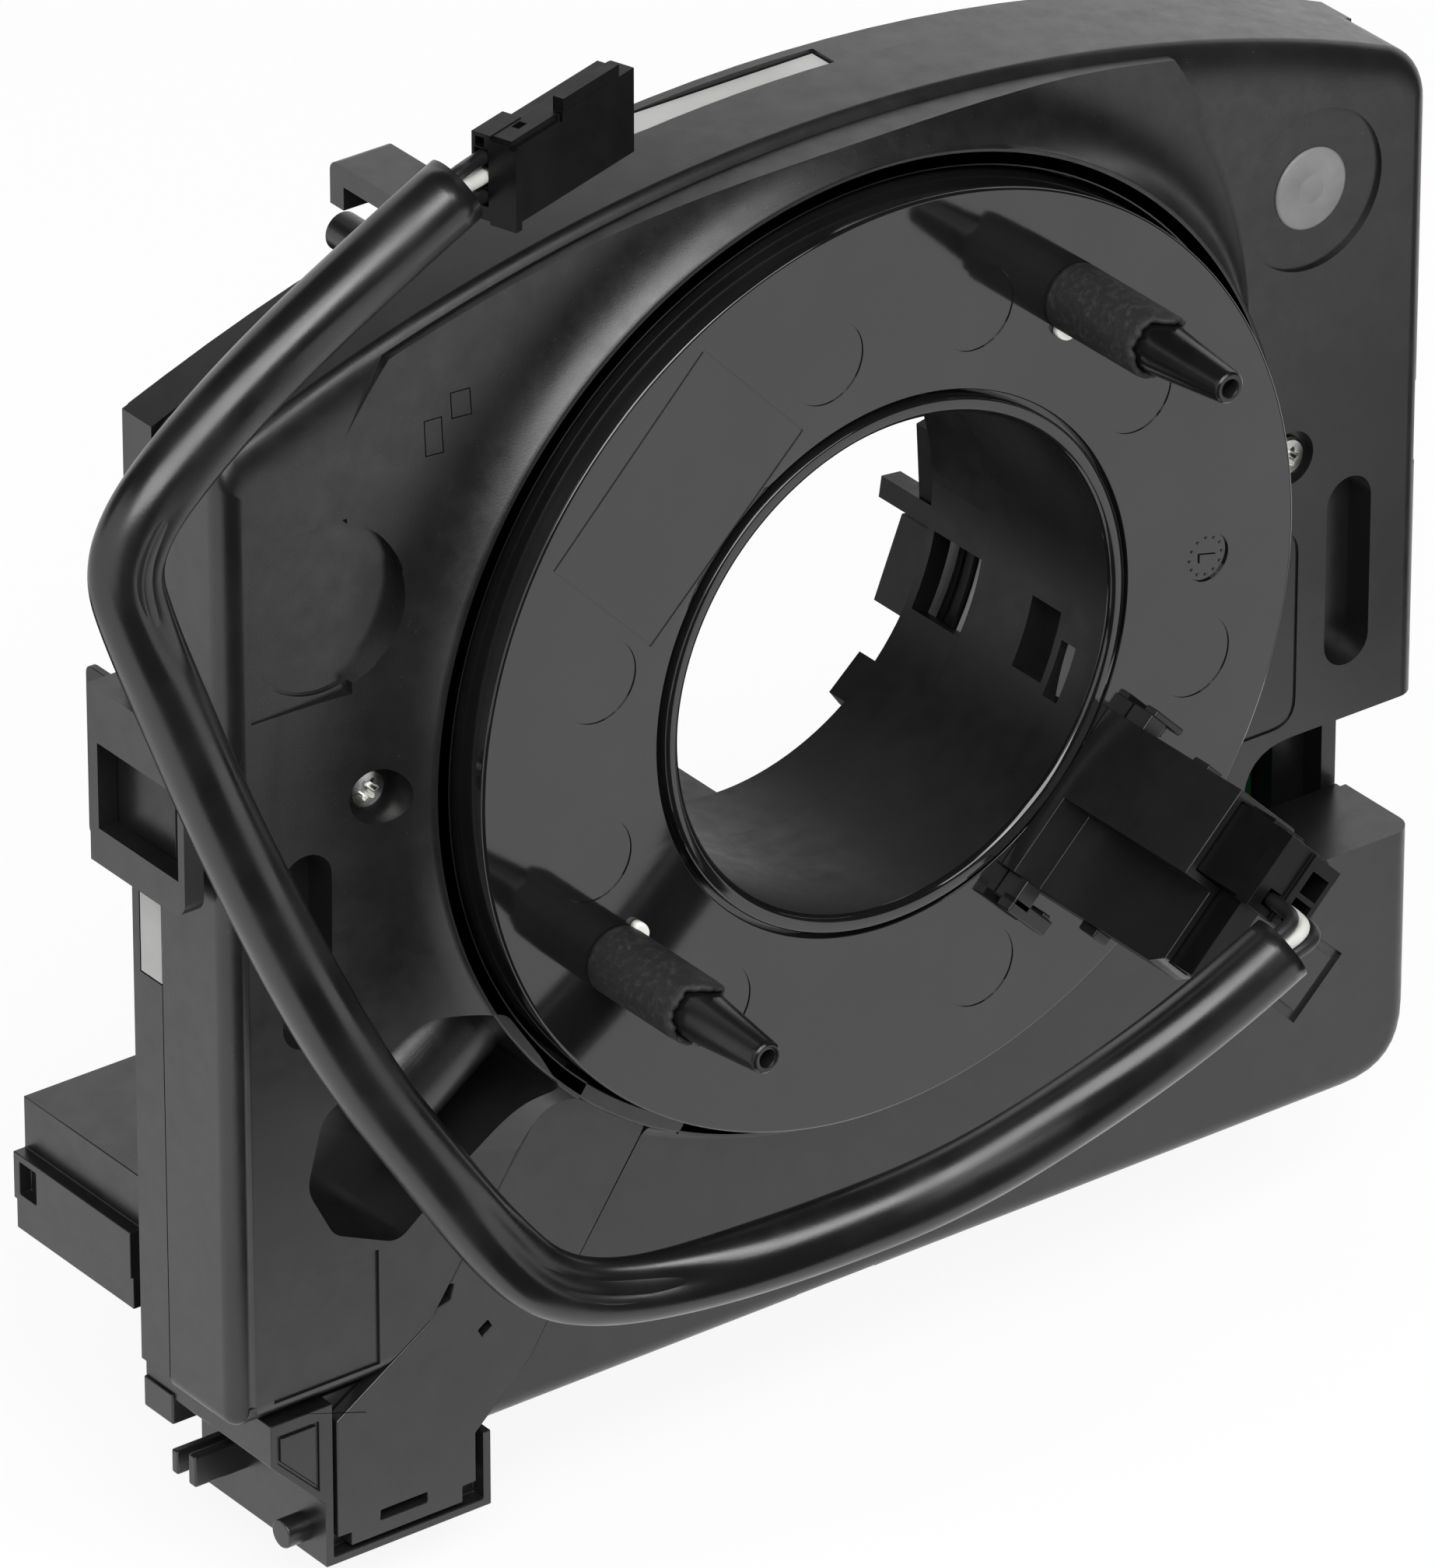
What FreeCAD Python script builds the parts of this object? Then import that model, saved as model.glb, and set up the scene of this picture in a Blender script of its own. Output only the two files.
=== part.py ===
import FreeCAD, Part

import math
import os

import Sketcher

# Steering clock spring, a rotary cable unit with a steering-angle sensor.
# X points right, Y away from the steering wheel and Z up. The rotor turns about the Y axis, and the
# origin is the middle of its bore in the plane of the disc's front face.

# Driving dimensions, in millimetres and degrees
SIZES = {
    # rotor disc and hub
    "DiscRadius": 49.0,
    "DiscThickness": 2.2,
    "RimWall": 1.6,
    "RimDepth": 7.0,
    "BoreRadius": 26.0,
    "HubWall": 2.6,
    "HubLength": 19.2,
    "LipHeight": 0.5,
    "LipWidth": 1.8,
    "GrooveWidth": 0.6,
    "GrooveDepth": 1.0,
    "EjectorRadius": 4.4,
    "MarkDepth": 0.25,
    "DialRadius": 2.6,
    "WindowHeight": 4.5,
    "WindowWidth": 7.4,
    "TabStart": -28.7,
    "TabEnd": -11.4,
    "TabLength": 7.3,
    # driver pins
    "PinRing": 39.4,
    "UpperPinAngle": 57.3,
    "LowerPinAngle": 211.9,
    "PinLength": 24.0,
    "PinRadius": 2.35,
    "PinTaper": 9.0,
    "PinTipRadius": 1.5,
    "PinHoleRadius": 0.6,
    "PinHoleDepth": 3.0,
    "PinSocketDepth": 1.4,
    "SleeveRadius": 3.45,
    "SleeveLength": 13.5,
    "SleeveFit": 0.05,
    "SleeveFoot": 1.5,
    "SleeveFootInset": 0.25,
    "LockWidth": 2.2,
    "LockReach": 2.0,
    "LockHeight": 1.2,
    # drive ring behind the hub
    "RingWall": 2.4,
    "RingLength": 8.5,
    "RingFlange": 2.6,
    "RingFlangeThickness": 1.2,
    "RingFit": 0.2,
    "LugReach": 8.0,
    # front cover of the stator
    "CoverFront": 8.8,
    "CoverDepth": 11.7,
    "CoverLeft": 72.2,
    "CoverRight": 72.8,
    "CrownTop": 54.45,
    "CutRoom": 20.0,
    "CrownRadius": 188.0,
    "CoverBottom": 73.9,
    "LeftBottom": 64.2,
    "BottomStep": 50.0,
    "BottomCorner": 43.8,
    "CoverWall": 1.9,
    "CornerRadius": 8.0,
    "LeftCornerRadius": 3.5,
    "EdgeRadius": 2.4,
    "RunGap": 0.6,
    "CollarWall": 1.7,
    "CollarProud": 4.4,
    "RampWidth": 14.0,
    "NotchTop": 30.4,
    "NotchBottom": 46.0,
    "NotchSide": 50.5,
    "NotchRadius": 6.0,
    "NibFront": 13.5,
    "NibDepth": 5.0,
    "NibHeight": 6.5,
    "NibDrop": 1.5,
    "BadgeRadius": 8.6,
    "BadgeDepth": 1.2,
    "SlotSide": 63.3,
    "SlotWidth": 5.6,
    "SlotTop": 3.4,
    "SlotLength": 21.0,
    "SlotDepth": 3.4,
    "ScrewInset": 4.4,
    "ScrewHeight": 1.0,
    "ScrewRadius": 2.15,
    "ScrewRoom": 0.75,
    "ScrewSink": 1.2,
    "ShankRadius": 1.25,
    "ShankFit": 0.05,
    "BossRadius": 4.0,
    "RecessDepth": 8.6,
    "RecessBossRadius": 6.5,
    "RecessBossLength": 15.0,
    "RecessBossSink": 0.7,
    # cable channel at the lower left
    "ChannelGap": 0.4,
    "ChannelPlate": 1.6,
    "StripFit": 0.2,
    "StripShoulder": 66.9,
    "TrayLeft": 61.9,
    "TrayRight": 42.2,
    "TrayBottom": 82.8,
    "TrayRim": 1.2,
    "TrayWall": 1.8,
    "TrayBack": 29.6,
    "TrayStep": 6.4,
    # carrier, rear housing and their stack
    "JointGap": 0.3,
    "CarrierThickness": 2.4,
    "CarrierBoreGap": 1.0,
    "TongueRise": 1.0,
    "TongueLeft": 16.0,
    "TongueRight": 8.3,
    "TongueHeight": 5.0,
    "TongueFit": 0.2,
    "RearRimDepth": 4.7,
    "RearBoxDepth": 4.8,
    "RearInset": 0.6,
    "RearStep": 4.0,
    "RearWall": 1.8,
    "RearBoreRadius": 31.5,
    "LatchGap": 1.2,
    "LatchThickness": 2.2,
    "LatchTop": 11.5,
    "LatchBottom": 7.5,
    "LatchLength": 15.4,
    "LatchBack": 0.9,
    "LatchArm": 3.9,
    "LatchRadius": 2.0,
    "WindowTop": 5.6,
    "WindowBottom": 3.6,
    "HookLeft": 35.7,
    "HookWidth": 6.5,
    "HookReach": 16.5,
    "HookThickness": 2.2,
    "HookDrop": 2.5,
    "HookSet": 2.2,
    "HookRadius": 1.2,
    "PegRadius": 2.0,
    "PegReach": 12.7,
    "SeatRise": 0.5,
    # sensor
    "BoardThickness": 1.6,
    "BoardRoom": 0.4,
    "BoardBoreGap": 1.5,
    "CodeDiscFit": 0.1,
    "CodeSlotMargin": 0.8,
    "CodeDiscRadius": 45.5,
    "CodeDiscThickness": 0.8,
    "CodeSlots": 36,
    "BarrierAngle": 135.0,
    "BarrierArm": 2.0,
    "BarrierFront": 1.2,
    "BarrierGap": 0.3,
    "BarrierWidth": 6.0,
    "BarrierLength": 6.6,
    "CodeSlotWidth": 2.4,
    "CodeSlotLength": 3.2,
    # flat cable
    "RibbonThickness": 0.35,
    "RibbonWidth": 9.0,
    "RibbonTurns": 6,
    "RibbonRise": 5.1,
    "RibbonRoom": 0.1,
    "RibbonLead": 0.4,
    "TerminalThickness": 2.6,
    "TerminalSpan": 16.0,
    # rear connector
    "HoodLeft": 68.0,
    "HoodWidth": 33.0,
    "HoodTop": 47.0,
    "HoodHeight": 14.4,
    "HoodReach": 19.7,
    "HoodWall": 1.5,
    "ContactPitch": 3.2,
    "ContactSide": 0.64,
    "ContactLength": 12.0,
    "BladeLength": 8.0,
    "BladeFit": 0.2,
    # socket tower on the disc
    "TowerAngle": 45.0,
    "TowerGap": 0.1,
    "TowerWidth": 18.4,
    "TowerThickness": 9.4,
    "TowerHeight": 20.8,
    "TowerWall": 0.9,
    "TowerStep": 4.4,
    "TowerStepRise": 2.0,
    "TowerSplit": 0.4,
    "FootRise": 3.0,
    "FootReach": 2.6,
    "FootPlate": 0.9,
    "CatchFront": 9.0,
    "CatchSize": 2.4,
    "CatchRise": 1.0,
    "PlugReach": 9.9,
    "PlugStep": 3.2,
    "PlugFit": 0.1,
    # airbag plug
    "AirbagPlugLength": 19.0,
    "AirbagPlugHeight": 8.7,
    "AirbagPlugThickness": 4.2,
    "AirbagPlugYaw": 17.7,
    "HeelLength": 4.9,
    "HeelFront": 0.3,
    "HeelReach": 0.35,
    "LedgeDepth": 0.6,
    "LedgeDrop": 0.45,
    "RibReach": 0.6,
    "RibWidth": 0.9,
    "RibStep": 0.4,
    "PlugHoleLength": 1.3,
    "PlugHoleWidth": 0.8,
    "SlideStart": 8.2,
    "SlideLength": 8.8,
    "SlideThickness": 1.2,
    "SlideRise": 1.3,
    # sleeve and wires
    "CordRadius": 3.5,
    "CordBore": 2.85,
    "WireRadius": 0.75,
    "WireSpacing": 1.8,
    "WirePitch": 2.0,
    "WireSeat": 1.2,
    "WireFit": 0.1,
}

DOC = FreeCAD.newDocument("SteeringClockSpring")
SHEET = DOC.addObject("Spreadsheet::Sheet", "Dims")
for row, (alias, number) in enumerate(SIZES.items(), 1):
    SHEET.set(f"A{row}", alias)
    SHEET.set(f"B{row}", str(number))
    SHEET.setAlias(f"B{row}", alias)
DOC.recompute()

# Every sub-part, in the order in which it is made
NODES = []


class Size:
    """A number together with the sheet expression that gives it."""

    def __init__(self, number, text=None):
        self.number = float(number)
        self.text = text or repr(float(number))

    def __add__(self, other):
        other = as_size(other)
        return Size(self.number + other.number, f"({self.text} + {other.text})")

    def __sub__(self, other):
        other = as_size(other)
        return Size(self.number - other.number, f"({self.text} - {other.text})")

    def __mul__(self, other):
        other = as_size(other)
        return Size(self.number * other.number, f"({self.text} * {other.text})")

    def __truediv__(self, other):
        other = as_size(other)
        return Size(self.number / other.number, f"({self.text} / {other.text})")

    def __neg__(self):
        return Size(-self.number, f"(-1 * {self.text})")

    def __radd__(self, other):
        return as_size(other) + self

    def __rsub__(self, other):
        return as_size(other) - self

    def __rmul__(self, other):
        return as_size(other) * self


def as_size(value):
    return value if isinstance(value, Size) else Size(value)


def root(size):
    return Size(math.sqrt(size.number), f"sqrt({size.text})")


def cosine(angle):
    return Size(math.cos(math.radians(angle.number)), f"cos({angle.text} * 1 deg)")


def sine(angle):
    return Size(math.sin(math.radians(angle.number)), f"sin({angle.text} * 1 deg)")


class Dimensions:
    """The sheet's cells as sizes, by name."""

    def __getattr__(self, alias):
        return Size(SIZES[alias], f"Dims.{alias}")


D = Dimensions()


# Making bodies, sketches and features

def bind(thing, path, size):
    thing.setExpression(path, as_size(size).text)


def new_body(label):
    body = DOC.addObject("PartDesign::Body", label.title().replace("_", ""))
    body.Label = label
    NODES.append(body)
    return body


def new_sketch(body, plane, offset=0):
    """A sketch on one of the body's own planes; on XZ_Plane the offset is the sketch's Y."""
    sketch = body.newObject("Sketcher::SketchObject", "Sketch")
    for feature in body.Origin.OriginFeatures:
        if feature.Role == plane:
            sketch.AttachmentSupport = (feature, "")
    sketch.MapMode = "FlatFace"
    sign = -1 if plane == "XZ_Plane" else 1
    bind(sketch, "AttachmentOffset.Base.z", sign * as_size(offset))
    return sketch


def place_vertex(sketch, geometry, end, across, up):
    """Ties one end of a piece of geometry to its distances from the sketch's origin."""
    for kind, size, axis in (("DistanceX", across, -2), ("DistanceY", up, -1)):
        size = as_size(size)
        if size.number == 0:
            sketch.addConstraint(Sketcher.Constraint("PointOnObject", geometry, end, axis))
            continue
        order = (-1, 1, geometry, end) if size.number > 0 else (geometry, end, -1, 1)
        index = sketch.addConstraint(Sketcher.Constraint(kind, *order, abs(size.number)))
        bind(sketch, f"Constraints[{index}]", size if size.number > 0 else -size)


def draw_outline(sketch, points, arcs=None):
    """A closed outline through the points, anticlockwise; arcs names the edges that bulge outwards."""
    arcs = arcs or {}
    first = sketch.GeometryCount
    count = len(points)
    numbers = [FreeCAD.Vector(as_size(a).number, as_size(b).number, 0) for a, b in points]
    for index, start in enumerate(numbers):
        end = numbers[(index + 1) % count]
        if index not in arcs:
            sketch.addGeometry(Part.LineSegment(start, end), False)
            continue
        radius = as_size(arcs[index]).number
        half = (end - start) * 0.5
        inward = FreeCAD.Vector(-half.y, half.x, 0).normalize()
        centre = start + half + inward * math.sqrt(radius ** 2 - half.Length ** 2)
        angles = [math.atan2(p.y - centre.y, p.x - centre.x) for p in (start, end)]
        if angles[1] < angles[0]:
            angles[1] += 2 * math.pi
        circle = Part.Circle(centre, FreeCAD.Vector(0, 0, 1), radius)
        sketch.addGeometry(Part.ArcOfCircle(circle, *angles), False)
    for index in range(count):
        following = first + (index + 1) % count
        sketch.addConstraint(Sketcher.Constraint("Coincident", first + index, 2, following, 1))
    for index, (across, up) in enumerate(points):
        place_vertex(sketch, first + index, 1, across, up)
    for index, radius in arcs.items():
        constraint = Sketcher.Constraint("Radius", first + index, as_size(radius).number)
        bind(sketch, f"Constraints[{sketch.addConstraint(constraint)}]", radius)


def draw_circle(sketch, across, up, radius):
    centre = FreeCAD.Vector(as_size(across).number, as_size(up).number, 0)
    circle = Part.Circle(centre, FreeCAD.Vector(0, 0, 1), as_size(radius).number)
    index = sketch.addGeometry(circle, False)
    place_vertex(sketch, index, 3, across, up)
    constraint = Sketcher.Constraint("Radius", index, as_size(radius).number)
    bind(sketch, f"Constraints[{sketch.addConstraint(constraint)}]", radius)


def rectangle(left, bottom, right, top):
    return [(left, bottom), (right, bottom), (right, top), (left, top)]


def pad(body, sketch, length):
    """Adds material from the sketch away from the steering wheel, towards +Y."""
    feature = body.newObject("PartDesign::Pad", "Pad")
    feature.Profile = sketch
    feature.Reversed = True
    bind(feature, "Length", length)
    return feature


def pocket(body, sketch, depth):
    """Takes material away from the sketch towards +Y."""
    feature = body.newObject("PartDesign::Pocket", "Pocket")
    feature.Profile = sketch
    bind(feature, "Length", depth)
    return feature


def prism(body, start, length, points, arcs=None, cut=False):
    sketch = new_sketch(body, "XZ_Plane", start)
    draw_outline(sketch, points, arcs)
    return pocket(body, sketch, length) if cut else pad(body, sketch, length)


def round_bar(body, start, length, circles, cut=False):
    """Cylinders along Y, each given as across, up and radius."""
    sketch = new_sketch(body, "XZ_Plane", start)
    for across, up, radius in circles:
        draw_circle(sketch, across, up, radius)
    return pocket(body, sketch, length) if cut else pad(body, sketch, length)


def turned(body, points, cut=False):
    """A profile of radius and Y turned about the Y axis."""
    sketch = new_sketch(body, "XY_Plane")
    draw_outline(sketch, points)
    kind = "PartDesign::Groove" if cut else "PartDesign::Revolution"
    feature = body.newObject(kind, "Turned")
    feature.Profile = sketch
    feature.ReferenceAxis = (sketch, ["V_Axis"])
    feature.Angle = 360
    return feature


def fillet(body, radius, wanted):
    """Rounds the edges of the body so far for which wanted(edge) holds."""
    DOC.recompute()
    base = body.Tip
    names = [f"Edge{i}" for i, edge in enumerate(base.Shape.Edges, 1) if wanted(edge)]
    if not names:
        raise RuntimeError(f"{body.Label}: no edge to round")
    feature = body.newObject("PartDesign::Fillet", "Fillet")
    feature.Base = (base, names)
    bind(feature, "Radius", radius)
    return feature


def along_y(edge, corners):
    """True for a straight edge along Y that stands at one of the corners."""
    box = edge.BoundBox
    if box.XLength > 0.01 or box.ZLength > 0.01:
        return False
    return any(abs(box.Center.x - as_size(a).number) < 0.05 and
               abs(box.Center.z - as_size(b).number) < 0.05 for a, b in corners)


def along_x(edge, corners):
    """True for a straight edge along X that lies at one of the corners, each given as Y and Z."""
    box = edge.BoundBox
    if box.YLength > 0.01 or box.ZLength > 0.01:
        return False
    return any(abs(box.Center.y - as_size(a).number) < 0.05 and
               abs(box.Center.z - as_size(b).number) < 0.05 for a, b in corners)


def in_plane(edge, y):
    box = edge.BoundBox
    return box.YLength < 0.01 and abs(box.Center.y - as_size(y).number) < 0.01


def block(body, corner, size, tilt=0, cut=False):
    """A box by its lowest corner and its three lengths, turned about the Y axis by tilt degrees."""
    kind = "PartDesign::SubtractiveBox" if cut else "PartDesign::AdditiveBox"
    feature = body.newObject(kind, "Block")
    for name, length in zip(("Length", "Width", "Height"), size):
        bind(feature, name, length)
    feature.MapMode = "Deactivated"
    angle = as_size(tilt)
    across, along, up = (as_size(value) for value in corner)
    feature.Placement = FreeCAD.Placement(FreeCAD.Vector(), FreeCAD.Rotation(FreeCAD.Vector(0, 1, 0), 0))
    bind(feature, "Placement.Rotation.Angle", angle)
    bind(feature, "Placement.Base.x", across * cosine(angle) + up * sine(angle))
    bind(feature, "Placement.Base.y", along)
    bind(feature, "Placement.Base.z", up * cosine(angle) - across * sine(angle))
    return feature


def sector(inner, outer, start, end):
    """Part of a ring between two angles, its inner side a flat that touches the inner radius."""
    start, end = as_size(start), as_size(end)
    near = as_size(inner) / cosine((end - start) / 2)
    points = [(outer * cosine(start), outer * sine(start)), (outer * cosine(end), outer * sine(end)),
              (near * cosine(end), near * sine(end)), (near * cosine(start), near * sine(start))]
    return points, {0: outer}


def put(body, across, along, up):
    """Sets a body's own origin in the part's frame."""
    for axis, size in zip("xyz", (across, along, up)):
        bind(body, f"Placement.Base.{axis}", size)


def tilt_about_y(body, angle):
    body.Placement = FreeCAD.Placement(FreeCAD.Vector(), FreeCAD.Rotation(FreeCAD.Vector(0, 1, 0), 0))
    bind(body, "Placement.Rotation.Angle", angle)


# Places that several sub-parts share
HUB = D.BoreRadius + D.HubWall
COVER_BORE = D.DiscRadius + D.RunGap
COLLAR = COVER_BORE + D.CollarWall
COLLAR_FRONT = D.CoverFront - D.CollarProud
PLATE_BACK = D.CoverFront + D.CoverWall
COVER_BACK = D.CoverFront + D.CoverDepth
CARRIER_FRONT = COVER_BACK + D.JointGap
CARRIER_BACK = CARRIER_FRONT + D.CarrierThickness
RING = D.BoreRadius + D.RingWall
RING_BACK = D.HubLength + D.RingLength
FLANGE_FRONT = CARRIER_BACK + D.RingFit
CODE_FRONT = FLANGE_FRONT + D.RingFlangeThickness
REAR_RIM_BACK = CARRIER_FRONT + D.RearRimDepth
REAR_BACK = REAR_RIM_BACK + D.RearBoxDepth
SHELF_FRONT = REAR_RIM_BACK - D.RearWall
BOARD_FRONT = REAR_BACK - D.RearWall - D.BoardThickness - D.BoardRoom
RIBBON_FRONT = COLLAR_FRONT + D.RibbonRise
RIBBON_INNER = HUB + D.TerminalThickness + D.RibbonLead
RIBBON_OUTER = D.DiscRadius - D.RimWall - D.RibbonRoom
TOWER_INNER = D.BoreRadius + D.LipWidth + D.TowerGap
TOWER_OUTER = TOWER_INNER + D.TowerThickness
SCREW_PLACES = [(side * (COLLAR + D.ScrewInset), D.ScrewHeight) for side in (-1, 1)]
PIN_ANGLES = {"upper": D.UpperPinAngle, "lower": D.LowerPinAngle}

# Points of the channel's two long sides, from the collar down to the tray
CHANNEL_LEFT = [(-31.0, -32.6), (-40.2, -46.3), (-49.2, -59.4), (-58.6, -65.4)]
CHANNEL_RIGHT = [(-43.8, -73.9), (-37.3, -67.8), (-31.7, -59.1), (-20.9, -43.4)]


# Rotor

EJECTOR_MARKS = [(-8.4, 35.2), (9.6, 35.4), (29.1, 20.4), (36.8, -11.0), (10.4, -36.6), (-21.7, -29.9),
                 (-35.9, -9.3), (-35.3, 9.8)]
DATE_DIAL = (38.3, -0.6)
PLATE_MARK = [(-22.9, 41.2), (-40.7, 23.2), (-29.2, 11.5), (-11.1, 28.9)]


def make_rotor_disc():
    """The glossy front disc with its rim wall, the lip round the bore and the hub, one moulding."""
    body = new_body("rotor_disc")
    lip = D.BoreRadius + D.LipWidth
    groove = lip + D.GrooveWidth
    inside_rim = D.DiscRadius - D.RimWall
    turned(body, [
        (D.BoreRadius, -D.LipHeight), (lip, -D.LipHeight), (lip, D.GrooveDepth), (groove, D.GrooveDepth),
        (groove, 0), (D.DiscRadius, 0), (D.DiscRadius, D.RimDepth), (inside_rim, D.RimDepth),
        (inside_rim, D.DiscThickness), (HUB, D.DiscThickness), (HUB, D.HubLength),
        (D.BoreRadius, D.HubLength)])
    prism(body, D.HubLength - 0.5, D.TabLength + 0.5, *sector(D.BoreRadius, RING, D.TabStart, D.TabEnd))
    marks = [(across, up, D.EjectorRadius) for across, up in EJECTOR_MARKS]
    round_bar(body, 0, D.MarkDepth, marks + [(*DATE_DIAL, D.DialRadius)], cut=True)
    prism(body, 0, D.MarkDepth, PLATE_MARK, cut=True)
    sockets = [(D.PinRing * cosine(angle), D.PinRing * sine(angle), D.PinRadius)
               for angle in PIN_ANGLES.values()]
    round_bar(body, 0, D.PinSocketDepth, sockets, cut=True)
    middle = (D.TabStart + D.TabEnd) / 2
    block(body, (D.BoreRadius - 1, 6.5, -1 * (D.WindowWidth / 2)),
          (D.HubWall + 2, D.WindowHeight, D.WindowWidth), tilt=-1 * middle, cut=True)
    return body


LUGS = [(-32.0, -12.0, 4.6), (-11.0, -6.0, 8.0), (-6.0, 12.0, 2.3), (-54.0, -43.0, 2.6),
        (-110.0, -90.0, 8.3), (126.0, 137.0, 2.6), (148.0, 168.0, 4.6), (169.0, 174.0, 8.0)]


def make_drive_ring():
    """The ring clipped on behind the hub, whose lugs drive the column side of the unit."""
    body = new_body("drive_ring")
    flange = RING + D.RingFlange
    flange_back = FLANGE_FRONT + D.RingFlangeThickness
    turned(body, [
        (D.BoreRadius, D.HubLength), (RING, D.HubLength), (RING, FLANGE_FRONT), (flange, FLANGE_FRONT),
        (flange, flange_back), (RING, flange_back), (RING, RING_BACK), (D.BoreRadius, RING_BACK)])
    for start, end, reach in LUGS:
        prism(body, RING_BACK - 0.5, D.LugReach * (reach / 8.0) + 0.5,
              *sector(D.BoreRadius, RING, start, end))
    fit = D.RingFit * 2
    prism(body, D.HubLength, D.TabLength + D.RingFit,
          *sector(D.BoreRadius - 1, HUB + D.RingFit, D.TabStart - fit, D.TabEnd + fit), cut=True)
    return body


def make_driver_pin(name, angle):
    """A tapered pin with a blind hole in its tip, through which the wheel turns the disc."""
    body = new_body(f"{name}_driver_pin")
    shoulder = D.PinLength - D.PinTaper
    turned(body, [
        (0, D.PinHoleDepth - D.PinLength), (D.PinHoleRadius, D.PinHoleDepth - D.PinLength),
        (D.PinHoleRadius, -D.PinLength), (D.PinTipRadius, -D.PinLength), (D.PinRadius, -shoulder),
        (D.PinRadius, D.PinSocketDepth), (0, D.PinSocketDepth)])
    put(body, D.PinRing * cosine(angle), 0, D.PinRing * sine(angle))
    return body


def make_pin_sleeve(name, angle):
    """The rubber sleeve on a driver pin, with a slightly narrower foot beside the key."""
    body = new_body(f"{name}_pin_sleeve")
    inner = D.PinRadius + D.SleeveFit
    foot = D.SleeveRadius - D.SleeveFootInset
    turned(body, [
        (inner, -D.SleeveLength), (D.SleeveRadius, -D.SleeveLength), (D.SleeveRadius, -D.SleeveFoot),
        (foot, -D.SleeveFoot), (foot, 0), (inner, 0)])
    put(body, D.PinRing * cosine(angle), 0, D.PinRing * sine(angle))
    return body


def make_pin_locks():
    """The two white keys beside the pins' feet."""
    body = new_body("pin_locks")
    body.AllowCompound = True
    for angle in PIN_ANGLES.values():
        block(body, (D.PinRing - D.SleeveRadius - D.SleeveFit - D.LockReach, -D.LockHeight,
                     -1 * (D.LockWidth / 2)),
              (D.LockReach, D.LockHeight, D.LockWidth), tilt=-angle)
    return body


def make_connector_tower():
    """The open socket that stands on the disc, its lower half cut back on the bore's side."""
    body = new_body("connector_tower")
    tilt_about_y(body, D.TowerAngle)
    inner, outer = TOWER_INNER, TOWER_OUTER
    half = D.TowerWidth / 2
    prism(body, -D.TowerHeight, D.TowerHeight, rectangle(inner, -half, outer, half))
    reach, plate = D.FootReach, D.FootPlate
    feet = [(inner + reach, half, reach, reach), (inner + reach, half + reach - plate, reach * 2, plate),
            (inner + reach / 2, -half - reach, reach, reach),
            (inner + reach / 2, -half - reach - plate, reach * 2.5, plate * 2)]
    for left, bottom, across, up in feet:
        block(body, (left, -D.FootRise, bottom), (across, D.FootRise, up))
    for bottom in (half, -half - D.CatchRise):
        block(body, (outer - D.CatchSize, -D.CatchFront, bottom), (D.CatchSize, D.CatchSize, D.CatchRise))
    step_floor = D.TowerStep + inner
    prism(body, -D.TowerHeight, D.TowerHeight - D.TowerStepRise,
          rectangle(inner, -half, step_floor, -0.5), cut=True)
    prism(body, -D.TowerHeight, D.TowerHeight - D.TowerStepRise,
          rectangle(inner + D.TowerWall, D.TowerSplit, outer - D.TowerWall, half - D.TowerWall), cut=True)
    prism(body, -D.TowerHeight, D.TowerHeight - D.TowerStepRise,
          rectangle(step_floor + D.TowerWall, D.TowerWall - half, outer - D.TowerWall, D.TowerSplit), cut=True)
    return body


def blade_heights():
    """The heights of the three contact blades in the socket's upper chamber."""
    room = D.TowerWidth / 2 - D.TowerWall - D.TowerSplit
    return [D.TowerSplit + room * ((index + 0.5) / 3) - D.ContactSide / 2 for index in range(3)]


def make_tower_contacts():
    """The contact blades that stand in the socket's floor, inside the plug."""
    body = new_body("tower_contacts")
    body.AllowCompound = True
    tilt_about_y(body, D.TowerAngle)
    middle = (TOWER_INNER + TOWER_OUTER) / 2
    for up in blade_heights():
        block(body, (middle, -D.TowerStepRise - D.BladeLength, up),
              (D.ContactSide, D.BladeLength, D.ContactSide))
    return body


def make_cable_plug():
    """The black plug in the socket, whose end has a seat for each of the three wires."""
    body = new_body("cable_plug")
    tilt_about_y(body, D.TowerAngle)
    skin = D.TowerWall + D.PlugFit
    left, right = TOWER_INNER + skin, TOWER_OUTER - skin
    half = D.TowerWidth / 2
    bottom, top = D.TowerSplit + D.PlugFit, half - skin
    back = -D.TowerStepRise - D.PlugFit
    reach = D.TowerHeight + D.PlugReach
    prism(body, -reach, reach + back, rectangle(left, bottom, right, top))
    low = D.TowerHeight + D.PlugStep
    prism(body, -low, low + back, rectangle(D.TowerStep + left, -half + skin, right, bottom + 0.5))
    middle, height = (TOWER_INNER + TOWER_OUTER) / 2, (bottom + top) / 2
    seats = [(middle + D.WirePitch * side, height, D.WireRadius + D.WireFit) for side in (-1, 0, 1)]
    round_bar(body, -reach, D.WireSeat, seats, cut=True)
    fit = D.BladeFit
    for up in blade_heights():
        block(body, (middle - fit, back - D.BladeLength - fit, up - fit),
              (D.ContactSide + fit * 2, D.BladeLength + fit, D.ContactSide + fit * 2), cut=True)
    return body


# Stator

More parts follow.
